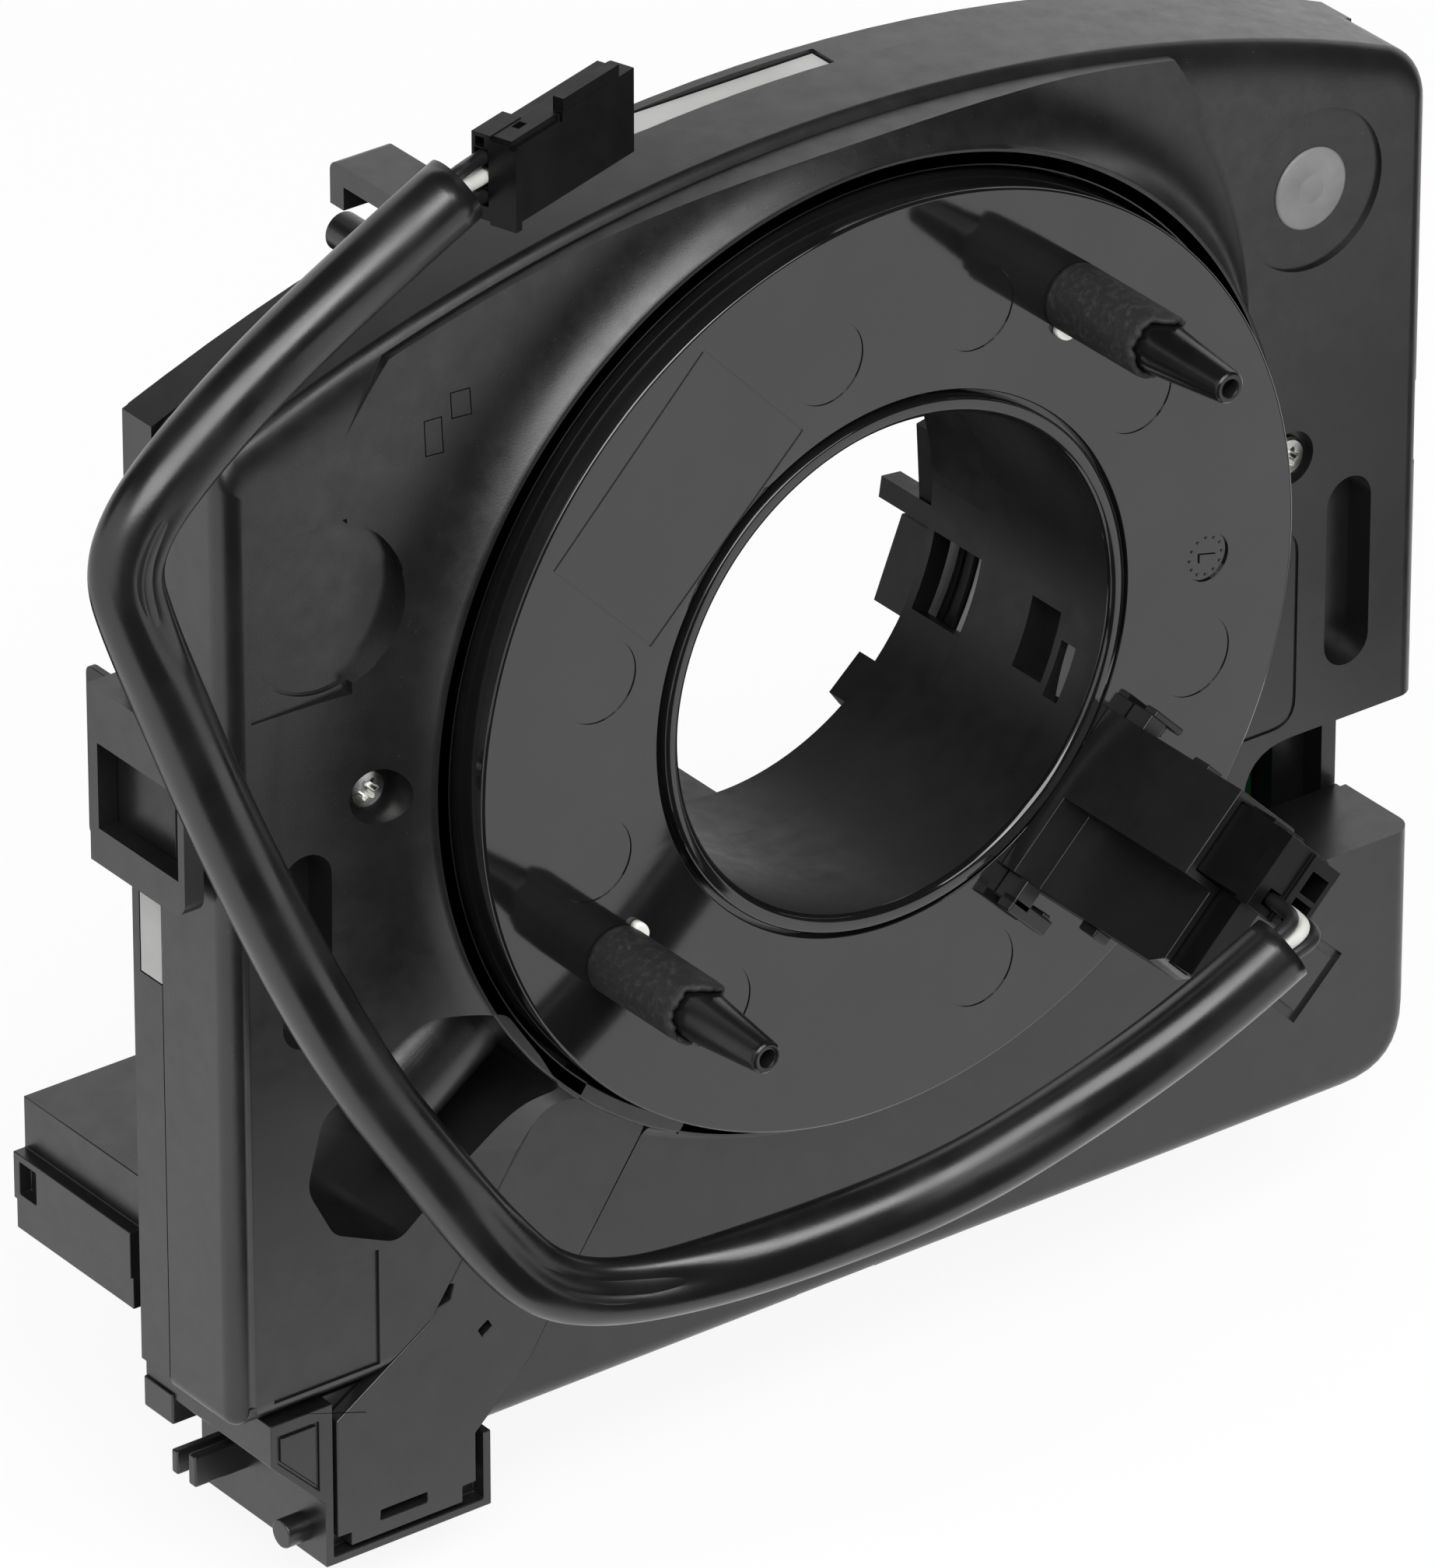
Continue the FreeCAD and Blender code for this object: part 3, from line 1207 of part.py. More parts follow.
def turn_airbag_plug(body):
    body.Placement = FreeCAD.Placement(FreeCAD.Vector(*AIRBAG_PLUG_PLACE),
                                       FreeCAD.Rotation(FreeCAD.Vector(0, 0, 1), 0))
    bind(body, "Placement.Rotation.Angle", D.AirbagPlugYaw)


def make_airbag_plug():
    """The small plug for the airbag: a plain rib across its end, and the wires' cells behind the rib."""
    body = new_body("airbag_plug")
    turn_airbag_plug(body)
    length, height, thickness = D.AirbagPlugLength, D.AirbagPlugHeight, D.AirbagPlugThickness
    front, low, top, step = -1 * (thickness / 2), -1 * (height / 2), height / 2, D.RibStep
    block(body, (step, front, low), (length, thickness, height))
    block(body, (D.HeelLength, D.LedgeDepth, top - D.LedgeDrop), (length, thickness, D.LedgeDrop + 1), cut=True)
    block(body, (0, front - D.RibReach, low - step), (D.RibWidth, thickness / 2 + D.RibReach + step, height))
    block(body, (0, D.HeelFront, low),
          (D.HeelLength, thickness / 2 - D.HeelFront + D.HeelReach, height + D.WireFit))
    block(body, (D.HeelLength - D.PlugHoleLength * 1.5, -D.PlugHoleWidth, top - D.PlugHoleLength),
          (D.PlugHoleLength, D.PlugHoleWidth, D.PlugHoleLength + 1), cut=True)
    sketch = new_sketch(body, "YZ_Plane")
    for side in (-1, 0, 1):
        draw_circle(sketch, WIRE_SEAT_PLACE[0], D.WirePitch * side + WIRE_SEAT_PLACE[1],
                    D.WireRadius + D.WireFit)
    pocket(body, sketch, D.WireSeat).Reversed = True
    return body


def make_airbag_plug_lock():
    """The lock slide that stands along the plug's upper edge, flush with its front."""
    body = new_body("airbag_plug_lock")
    turn_airbag_plug(body)
    block(body, (D.SlideStart, -1 * (D.AirbagPlugThickness / 2), D.AirbagPlugHeight / 2),
          (D.SlideLength, D.SlideThickness, D.SlideRise))
    return body


make_rotor_disc()
make_drive_ring()
for pin, angle in PIN_ANGLES.items():
    make_driver_pin(pin, angle)
    make_pin_sleeve(pin, angle)
make_pin_locks()
make_connector_tower()
make_tower_contacts()
make_cable_plug()
make_front_cover()
make_channel_cover()
make_channel_tray()
make_cover_screws()
make_inner_carrier()
make_rear_housing()
make_rear_connector()
make_connector_pins()
make_sensor_board()
make_code_disc()
make_light_barrier()
make_cable_terminals()
make_flat_cable()
make_cable_sleeve()
make_airbag_wires()
make_airbag_plug()
make_airbag_plug_lock()

os.makedirs("parts", exist_ok=True)
DOC.recompute()
for thing in DOC.Objects:
    if "Invalid" in thing.State or "Error" in thing.State:
        raise RuntimeError(f"{thing.Label}: {thing.State}")
for node in NODES:
    if node.Shape.isNull() or not node.Shape.isValid():
        raise RuntimeError(f"{node.Label}: bad shape")
    node.Shape.exportStep(f"parts/{node.Label}.step")
    box = node.Shape.optimalBoundingBox(False, False)
    print(node.Label, len(node.Shape.Solids), round(node.Shape.Volume, 1), box)
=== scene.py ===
# %% [markdown]
# # A steering clock spring
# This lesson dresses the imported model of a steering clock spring: a flat black housing with a glossy
# disc turning in it, two driver pins, a socket with its plug and a sleeve of airbag wires. The packed
# model is loaded first and never moved. Everything new is placed in its frame, with X to the right,
# Y away from the steering wheel and Z up, and the origin in the middle of the bore.

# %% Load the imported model
import math

import bmesh
import bpy
from mathutils import Matrix, Vector


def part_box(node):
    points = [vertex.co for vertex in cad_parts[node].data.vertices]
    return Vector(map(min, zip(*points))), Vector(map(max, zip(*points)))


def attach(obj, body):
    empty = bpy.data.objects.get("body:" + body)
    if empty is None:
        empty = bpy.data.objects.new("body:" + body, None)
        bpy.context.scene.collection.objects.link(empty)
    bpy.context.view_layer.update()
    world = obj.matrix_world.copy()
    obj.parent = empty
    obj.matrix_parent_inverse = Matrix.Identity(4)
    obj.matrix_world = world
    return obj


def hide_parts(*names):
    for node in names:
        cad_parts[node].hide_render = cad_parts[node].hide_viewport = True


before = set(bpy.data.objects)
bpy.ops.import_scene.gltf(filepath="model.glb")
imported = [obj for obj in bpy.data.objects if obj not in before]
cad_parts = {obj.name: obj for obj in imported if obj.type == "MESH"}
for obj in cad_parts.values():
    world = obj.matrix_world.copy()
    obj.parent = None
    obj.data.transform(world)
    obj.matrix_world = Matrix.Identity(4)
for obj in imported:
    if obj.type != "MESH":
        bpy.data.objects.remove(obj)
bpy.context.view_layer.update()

# %% [markdown]
# Sizes on the drawing are in millimetres, Blender's are in metres. A point is written in millimetres
# and turned to metres in one place.

# %% Millimetres to metres
MM = 0.001


def at(x, y, z):
    """A point given in millimetres."""
    return Vector((x * MM, y * MM, z * MM))


# %% [markdown]
# ## The camera
# The photograph was taken with a long lens from the left and above, so parallel edges stay nearly
# parallel. The angles, the distance and the focal length come from fitting the disc's ellipse and the
# housing's outline.

# %% Camera
IMAGE_SIZE = (1845, 2016)
FOCAL_PX = 20000
SENSOR = 36.0
AZIMUTH, ELEVATION = math.radians(-37.06), math.radians(28.95)
CAMERA_PLACE = at(-802.3, -1034.2, 711.0)


def make_camera():
    """A camera at the photograph's viewing angle."""
    camera = bpy.data.objects.new("camera", bpy.data.cameras.new("camera"))
    bpy.context.scene.collection.objects.link(camera)
    camera.data.sensor_width = SENSOR
    camera.data.lens = FOCAL_PX / max(IMAGE_SIZE) * SENSOR
    camera.data.clip_start, camera.data.clip_end = 0.05, 20
    camera.location = CAMERA_PLACE
    camera.rotation_euler = (math.pi / 2 - ELEVATION, 0, AZIMUTH)
    bpy.context.scene.camera = camera
    return camera


camera = make_camera()
print("lens:", round(camera.data.lens, 2), "mm")

# %% [markdown]
# ## The cord
# A soft sleeve carries three thin wires from the cable plug on the disc round to the airbag plug. Its
# line is one smooth spline through a few listed points, the same points that the imported model has. A
# spline bends the way a cord does, with no corners.

# %% Route of the sleeve and of the wires
CORD_ROUTE = [
    (21.0, -33.6, -23.0), (13.0, -33.0, -27.5), (0.5, -30.5, -34.0), (-13.0, -26.5, -40.5),
    (-27.0, -22.0, -44.0), (-39.0, -18.0, -46.0), (-46.5, -15.5, -46.0), (-52.5, -14.0, -43.5),
    (-57.0, -12.5, -38.0), (-62.5, -10.5, -29.0), (-70.0, -8.5, -16.5), (-76.0, -7.0, -3.5),
    (-82.5, -5.5, 12.5), (-87.5, -4.5, 26.5), (-90.5, -4.0, 35.0), (-92.0, -3.5, 41.0),
    (-90.0, -3.5, 46.0), (-84.5, -3.0, 50.5), (-76.0, -3.0, 56.5), (-65.5, -3.0, 62.5),
    (-53.5, -3.0, 68.5)]
WIRES_BEFORE = [(24.96, -28.4, -22.27), (24.89, -31.6, -22.2), (23.9, -33.3, -22.4)]
WIRES_AFTER = [(-50.56, -1.39, 67.6), (-48.02, -0.58, 67.6)]
SLEEVE_RADIUS, SLEEVE_BORE, WIRE_RADIUS, WIRE_SPACING, WIRE_PITCH = 3.5, 2.85, 0.75, 1.8, 2.0


def wire_route(side):
    """The route of one of the three wires, beside the middle one; the way they lie turns in the sleeve."""
    at_socket, into_sleeve, inside = (0.7071, 0, -0.7071), (0.5, 0.7071, -0.5), (0, 1, 0)
    out_of_sleeve, at_end, at_plug = (-0.316, 0.7071, 0.632), (-0.447, 0, 0.894), (0, 0, 1)
    shifts = ([(at_socket, WIRE_PITCH)] * 2 + [(at_socket, (WIRE_PITCH + WIRE_SPACING) / 2)] +
              [(at_socket, WIRE_SPACING), (into_sleeve, WIRE_SPACING)] +
              [(inside, WIRE_SPACING)] * (len(CORD_ROUTE) - 4) +
              [(out_of_sleeve, WIRE_SPACING), (at_end, WIRE_SPACING * 0.8)] + [(at_plug, WIRE_PITCH)] * 2)
    return [tuple(place + side * apart * part for place, part in zip(point, way))
            for point, (way, apart) in zip(WIRES_BEFORE + CORD_ROUTE + WIRES_AFTER, shifts)]


def route_curve(name, points):
    """A smooth spline through the route, with its order set after its points."""
    curve = bpy.data.curves.new(name, "CURVE")
    curve.dimensions = "3D"
    spline = curve.splines.new("NURBS")
    spline.points.add(len(points) - 1)
    for point, place in zip(spline.points, points):
        point.co = (*at(*place), 1)
    spline.order_u = 3
    spline.use_endpoint_u = True
    spline.resolution_u = 12
    return bpy.data.objects.new(name, curve)


def line_of(points):
    """The points of the spline itself, in metres."""
    holder = route_curve("route", points)
    bpy.context.scene.collection.objects.link(holder)
    bpy.context.view_layer.update()
    mesh = bpy.data.meshes.new_from_object(holder)
    line = [vertex.co.copy() for vertex in mesh.vertices]
    bpy.data.objects.remove(holder)
    bpy.data.meshes.remove(mesh)
    return line


def length_of(line):
    return sum((b - a).length for a, b in zip(line, line[1:]))


sleeve_line = line_of(CORD_ROUTE)
wires_line = line_of(wire_route(0))
print("sleeve:", round(length_of(sleeve_line) / MM), "mm, wires:", round(length_of(wires_line) / MM), "mm")

# %% [markdown]
# A tube is swept along the line with a frame that turns as little as it can, so it never twists. A
# list of sections lets the round sleeve flatten at its two folds.

# %% Tube along a line


def link(name, bm, outward=True):
    """A new object, shaded smooth, of the faces made so far; outward turns them all the right way."""
    if outward:
        bmesh.ops.recalc_face_normals(bm, faces=bm.faces)
    mesh = bpy.data.meshes.new(name)
    bm.to_mesh(mesh)
    bm.free()
    mesh.shade_smooth()
    thing = bpy.data.objects.new(name, mesh)
    bpy.context.scene.collection.objects.link(thing)
    return thing


def skin(bm, rings, around=False):
    """Joins rings of vertices, each to the next, and with around the last to the first."""
    for near, far in zip(rings, rings[1:] + (rings[:1] if around else [])):
        for step in range(len(near)):
            following = (step + 1) % len(near)
            corners = []
            for vert in (near[step], near[following], far[following], far[step]):
                if vert not in corners:
                    corners.append(vert)
            if len(corners) > 2:
                bm.faces.new(corners)


def frames_along(line):
    """For each point of the line: the point and two directions across it."""
    frames = []
    across = Vector((0, -1, 0))
    for index, point in enumerate(line):
        before, after = line[max(index - 1, 0)], line[min(index + 1, len(line) - 1)]
        along = (after - before).normalized()
        across = (across - along * across.dot(along)).normalized()
        frames.append((point, across, along.cross(across)))
    return frames


def sweep(bm, line, section, ends=True):
    """Sweeps a section, a function of the way along and the angle that gives an offset in metres."""
    rings = []
    frames = frames_along(line)
    total = length_of(line)
    way = 0.0
    for index, (point, across, other) in enumerate(frames):
        if index:
            way += (point - frames[index - 1][0]).length
        ring = []
        for step in range(section.sides):
            angle = 2 * math.pi * step / section.sides
            a, b = section(way / total, angle)
            ring.append(bm.verts.new(point + across * a + other * b))
        rings.append(ring)
    skin(bm, rings)
    if ends:
        bm.faces.new(list(reversed(rings[0])))
        bm.faces.new(rings[-1])
    return rings


# %% [markdown]
# The sleeve is soft tubing. It is round where it is free, flattens where it is folded over at the left
# and at the bottom, and carries long shallow creases that catch the light as streaks.

# %% Sleeve and wires


class Tubing:
    """The sleeve's section: a circle that flattens at the folds, with creases that wander round it."""

    # way along, length and depth of each fold
    FOLDS = [(0.33, 0.045, 0.45), (0.40, 0.035, 0.25), (0.79, 0.040, 0.42), (0.12, 0.05, 0.06),
             (0.62, 0.1, 0.05)]

    def __init__(self, radius, sides, creased=True):
        self.radius, self.sides, self.creased = radius * MM, sides, creased

    def __call__(self, way, angle):
        flat = sum(depth * math.exp(-((way - middle) / width) ** 2) for middle, width, depth in self.FOLDS)
        crease = 0
        if self.creased:
            swing = 0.5 * math.sin(9 * way) + 0.3 * math.sin(23 * way + 1)
            crease = -0.05 * math.exp(-((math.sin((angle - 2.4 - swing) / 2)) / 0.16) ** 2)
            crease -= 0.035 * math.exp(-((math.sin((angle - 4.0 + swing)) / 2) / 0.14) ** 2)
            crease -= flat * 0.6 * math.exp(-((math.sin((angle - 0.6) / 2)) / 0.22) ** 2)
        across = self.radius * (1 + crease) * math.cos(angle) * (1 - 0.55 * flat)
        other = self.radius * (1 + crease) * math.sin(angle) * (1 + 0.05 * flat)
        return across, other


class RoundSection:
    """A circle of one radius all the way along."""

    def __init__(self, radius, sides):
        self.radius, self.sides = radius * MM, sides

    def __call__(self, way, angle):
        return self.radius * math.cos(angle), self.radius * math.sin(angle)


def make_sleeve():
    bm = bmesh.new()
    outer = sweep(bm, sleeve_line, Tubing(SLEEVE_RADIUS, 56), ends=False)
    inner = sweep(bm, sleeve_line, Tubing(SLEEVE_BORE, 56, creased=False), ends=False)
    for ring, hole in ((outer[0], inner[0]), (outer[-1], inner[-1])):
        for step in range(len(ring)):
            following = (step + 1) % len(ring)
            bm.faces.new((ring[step], hole[step], hole[following], ring[following]))
    sides = len(outer[0])
    sleeve = link("sleeve", bm)
    for polygon in sleeve.data.polygons[-2 * sides:]:
        polygon.use_smooth = False
    return sleeve


def make_wires():
    bm = bmesh.new()
    for side in (-1, 0, 1):
        before = len(bm.faces)
        sweep(bm, line_of(wire_route(side)), RoundSection(WIRE_RADIUS, 16))
        bm.faces.ensure_lookup_table()
        for face in bm.faces[before:]:
            face.material_index = 1 if side == 0 else 0
    return link("wires", bm)


sleeve = make_sleeve()
wires = make_wires()

# %% [markdown]
# ## Ways of making a piece
# Most pieces are mouldings: an outline pushed back from the front with a rolled edge, a profile turned
# about an axis, or a few blocks run together. Pockets are cut with booleans, and a small bevel then
# breaks every sharp edge, because a real moulding has none and the eye reads the thin bright line.

# %% Outlines in the plane of the disc, in millimetres


def arc(centre, radius, start, end, steps):
    """Points on a circle from one angle to another, in degrees."""
    angles = [math.radians(start + (end - start) * step / steps) for step in range(steps + 1)]
    return [(centre[0] + radius * math.cos(a), centre[1] + radius * math.sin(a)) for a in angles]


def rounded(points, radii, steps=6):
    """The outline with each corner turned into an arc of its radius."""
    result = []
    count = len(points)
    for index, corner in enumerate(points):
        radius = radii[index] if isinstance(radii, (list, tuple)) else radii
        here = Vector(corner)
        back = (Vector(points[index - 1]) - here)
        ahead = (Vector(points[(index + 1) % count]) - here)
        half = back.angle(ahead) / 2
        reach = min(radius / math.tan(half), 0.49 * back.length, 0.49 * ahead.length)
        if radius <= 0 or half > math.pi / 2 - 0.02:
            result.append(corner)
            continue
        start = here + back.normalized() * reach
        end = here + ahead.normalized() * reach
        for step in range(steps + 1):
            way = step / steps
            along = start.lerp(here, way).lerp(here.lerp(end, way), way)
            result.append(tuple(along))
    return result


def inset(points, amount):
    """The outline moved inwards, corner by corner; the outline runs anticlockwise."""
    result = []
    count = len(points)
    for index, corner in enumerate(points):
        here = Vector(corner)
        back = (here - Vector(points[index - 1])).normalized()
        ahead = (Vector(points[(index + 1) % count]) - here).normalized()
        inward = (Vector((-back.y, back.x)) + Vector((-ahead.y, ahead.x))).normalized()
        stretch = max(inward.dot(Vector((-ahead.y, ahead.x))), 0.3)
        result.append(tuple(here + inward * (amount / stretch)))
    return result


def box_outline(left, bottom, right, top):
    return [(left, bottom), (right, bottom), (right, top), (left, top)]


# %% Meshes from outlines and profiles


class Frame:
    """Turns a piece's own millimetres (across, depth, up) into metres in the part's frame."""

    def __init__(self, origin=(0, 0, 0), across=(1, 0, 0), depth=(0, 1, 0), up=(0, 0, 1)):
        self.origin = Vector(origin)
        self.axes = [Vector(axis).normalized() for axis in (across, depth, up)]

    def __call__(self, across, depth, up):
        a, b, c = self.axes
        return (self.origin + a * across + b * depth + c * up) * MM


PART = Frame()
# depths from before the front to behind the back
THROUGH = (0, 40)


def facing(degrees):
    """A frame about the bore's axis whose across points outwards at the angle."""
    a = math.radians(degrees)
    return Frame(across=(math.cos(a), 0, math.sin(a)), depth=(0, 1, 0), up=(-math.sin(a), 0, math.cos(a)))


def layers(bm, rings, place, closed=True):
    """Skins a stack of outlines, each a list of points with its depth, from front to back."""
    verts = [[bm.verts.new(place(x, depth, z)) for x, z in outline] for outline, depth in rings]
    skin(bm, verts)
    if closed:
        bm.faces.new(list(reversed(verts[0])))
        bm.faces.new(verts[-1])


def prism(bm, outline, front, back, roll=0.0, steps=6, place=PART, crowned=None):
    """An outline pushed back from the front, its front edge rolled over with a radius.

    crowned gives each point of the outline its own multiple of the roll across the edge.
    """
    rings = []
    if roll:
        for step in range(steps + 1):
            angle = math.pi / 2 * step / steps
            reach = roll * (1 - math.sin(angle))
            drawn_in = inset(outline, reach)
            if crowned:
                drawn_in = [(x, z - reach * (crowned(point) - 1)) for (x, z), point in zip(drawn_in, outline)]
            rings.append((drawn_in, front + roll * (1 - math.cos(angle))))
    else:
        rings.append((outline, front))
    rings.append((outline, back))
    layers(bm, rings, place)


def block(bm, low, high, place=PART):
    """A box between two corners, each across, depth and up."""
    prism(bm, box_outline(low[0], low[2], high[0], high[2]), low[1], high[1], place=place)


def boxes(*corners, place=PART):
    """A maker of boxes, each given by its two corners."""
    def make(bm):
        for low, high in corners:
            block(bm, low, high, place)
    return make


def turn(bm, profile, centre=(0, 0), steps=160, place=PART):
    """A closed profile of radius and depth turned about an axis that runs front to back."""
    rings = []
    for radius, depth in profile:
        if radius < 1e-6:
            rings.append([bm.verts.new(place(centre[0], depth, centre[1]))] * steps)
            continue
        rings.append([bm.verts.new(place(x, depth, z)) for x, z in arc(centre, radius, 0, 360, steps)[:-1]])
    skin(bm, rings, around=True)


def piece(name, make, softness=0.2, segments=2, angle=35):
    """Runs a making function on an empty mesh and softens the finished piece's edges."""
    bm = bmesh.new()
    make(bm)
    thing = link(name, bm)
    if softness:
        soften(thing, softness, segments, angle)
    return thing


def soften(thing, width, segments=2, angle=35):
    """Breaks the sharp edges with a small bevel that keeps the flat faces flat."""
    bevel = thing.modifiers.new("soft edges", "BEVEL")
    bevel.width = width * MM
    bevel.segments = segments
    bevel.limit_method = "ANGLE"
    bevel.angle_limit = math.radians(angle)
    bevel.harden_normals = True
    bevel.miter_outer = "MITER_ARC"
    thing.data.shade_smooth()
    flat = thing.modifiers.new("flat faces", "WEIGHTED_NORMAL")
    flat.mode = "FACE_AREA"
    flat.weight = 100
    flat.keep_sharp = True


def carve(thing, makers, operation="DIFFERENCE"):
    """Cuts away, or adds, each maker's solid."""
    group = bpy.data.collections.new("tools")
    tools = []
    for make in makers:
        tool = piece("tool", make, softness=0)
        bpy.context.scene.collection.objects.unlink(tool)
        group.objects.link(tool)
        tools.append(tool)
    bpy.context.scene.collection.children.link(group)
    boolean = thing.modifiers.new("carve", "BOOLEAN")
    boolean.operand_type = "COLLECTION"
    boolean.collection = group
    boolean.operation = operation
    boolean.solver = "EXACT"
    bpy.context.view_layer.update()
    carved = bpy.data.meshes.new_from_object(thing.evaluated_get(bpy.context.evaluated_depsgraph_get()))
    thing.modifiers.remove(boolean)
    old = thing.data
    thing.data = carved
    bpy.data.meshes.remove(old)
    for tool in tools:
        bpy.data.objects.remove(tool)
    bpy.data.collections.remove(group)
    bm = bmesh.new()
    bm.from_mesh(thing.data)
    bmesh.ops.remove_doubles(bm, verts=bm.verts, dist=1e-6)
    bmesh.ops.dissolve_degenerate(bm, edges=bm.edges, dist=1e-6)
    bm.to_mesh(thing.data)
    bm.free()


def tool_prism(outline, front, back, place=PART):
    return lambda bm: prism(bm, outline, front, back, place=place)


def tool_bar(x, z, radius, front, back, steps=48, place=PART):
    return lambda bm: prism(bm, arc((x, z), radius, 0, 360, steps)[:-1], front, back, place=place)


def tool_groove(outline, width, front, back):
    """A narrow channel along an outline."""
    def make(bm):
        inner = inset(outline, width)
        rings = [(outline, front), (outline, back), (inner, back), (inner, front), (outline, front)]
        layers(bm, rings, PART, closed=False)
        bmesh.ops.remove_doubles(bm, verts=bm.verts, dist=1e-7)
    return make


# %% [markdown]
# ## The front cover
# The cover is one deep moulding with an arched top. Its front edge is rolled, and a collar stands round
# the rotor on a ramp that flattens into the plate. The plate is pushed back from its outline, the ramp
# is turned and added, and everything that goes in, from the bore to the screw seats, is cut.

# %% Cover sizes
DISC_RADIUS, COVER_BORE, COLLAR = 49.0, 49.6, 51.3
COVER_FRONT, COVER_BACK, COLLAR_FRONT = 8.8, 20.5, 4.4
COVER_LEFT, COVER_RIGHT, COVER_BOTTOM, LEFT_BOTTOM = -72.2, 72.8, -73.9, -64.2
CROWN_TOP, CROWN_RADIUS = 54.45, 188.0


def crown(x):
    """The height of the arched top."""
    return CROWN_TOP - CROWN_RADIUS + math.sqrt(CROWN_RADIUS ** 2 - x ** 2)


CROWN = [(x, crown(x)) for x in range(64, -65, -4)]
COVER_OUTLINE = rounded(
    [(COVER_LEFT, LEFT_BOTTOM), (-50.0, LEFT_BOTTOM), (-43.8, COVER_BOTTOM), (COVER_RIGHT, COVER_BOTTOM),
     (COVER_RIGHT, crown(COVER_RIGHT))] + CROWN + [(COVER_LEFT, crown(COVER_LEFT))],
    [1.5, 1.0, 1.0, 8.0, 8.5] + [0] * len(CROWN) + [3.5], steps=8)
CHANNEL = [(-31.0, -32.6), (-40.2, -46.3), (-49.2, -59.4), (-58.6, -65.4), (-46.0, -78.0), (-43.8, -73.9),
           (-37.3, -67.8), (-31.7, -59.1), (-20.9, -43.4)]
RECESS = rounded(
    [(-46.2, -44.2), (-39.6, -39.4), (-36.2, -37.0), (-39.2, -31.6), (-43.4, -25.2), (-50.2, -25.3),
     (-61.7, -32.8), (-63.6, -40.0), (-60.5, -46.0), (-53.0, -49.4)],
    [0, 1, 2.0, 3, 3, 4, 3, 4, 3, 2.5], steps=6)
NOTCH = rounded(box_outline(50.5, -46.0, 82.0, -30.4), [0.8, 0, 0, 6.0], steps=8)
SCREWS = [(-55.7, 1.0), (55.7, 1.0)]
LEFT_BADGE, RIGHT_BADGE, BADGE_RADIUS = (-60.8, 21.9), (57.9, 29.8), 8.6


def ramp_profile():
    """The collar and its ramp, which flattens out into the plate."""
    slope = [(COLLAR + 0.35 + step * 0.9,
              COVER_FRONT + 0.02 - (COVER_FRONT - COLLAR_FRONT - 0.35) * math.exp(-step * 0.9 / 4.2))
             for step in range(18)]
    inner, end = 48.5, slope[-1][0] + 3
    collar_top = [(inner, COLLAR_FRONT), (COLLAR - 0.2, COLLAR_FRONT), (COLLAR + 0.1, COLLAR_FRONT + 0.08)]
    under = COVER_FRONT + 1.2
    return collar_top + slope + [(end, COVER_FRONT + 0.05), (end, under), (inner, under)]


def slot_outline(x):
    """A slot with round ends."""
    top, bottom, half = -3.4, -24.4, 2.8
    return arc((x, bottom + half), half, 180, 360, 12) + arc((x, top - half), half, 0, 180, 12)


def ramp_share(angle):
    """The ramp is broad from the top to the left and narrows to a small step below and on the right."""
    rise = max(0.0, min(1.0, (angle - 20) / 50))
    fall = max(0.0, min(1.0, (238 - angle) / 26))
    return 0.12 + 0.88 * min(rise, fall)


def ramp_piece():
    steps = 192

    def make(bm):
        rings = []
        for radius, depth in ramp_profile():
            ring = []
            for step in range(steps):
                angle = 360 * step / steps
                reach = radius if radius <= COLLAR + 0.2 else COLLAR + (radius - COLLAR) * ramp_share(angle)
                a = math.radians(angle)
                ring.append(bm.verts.new(PART(reach * math.cos(a), depth, reach * math.sin(a))))
            rings.append(ring)
        skin(bm, rings, around=True)
    ramp = piece("ramp", make, softness=0)
    carve(ramp, [tool_prism(inset(COVER_OUTLINE, 1.0), *THROUGH)], "INTERSECT")
    return ramp


def crown_roll(point):
    """The roll grows over the arched top, where the plate leans back well before its edge."""
    return 1 + 2.2 * max(0.0, min(1.0, (point[1] - 36) / 8))


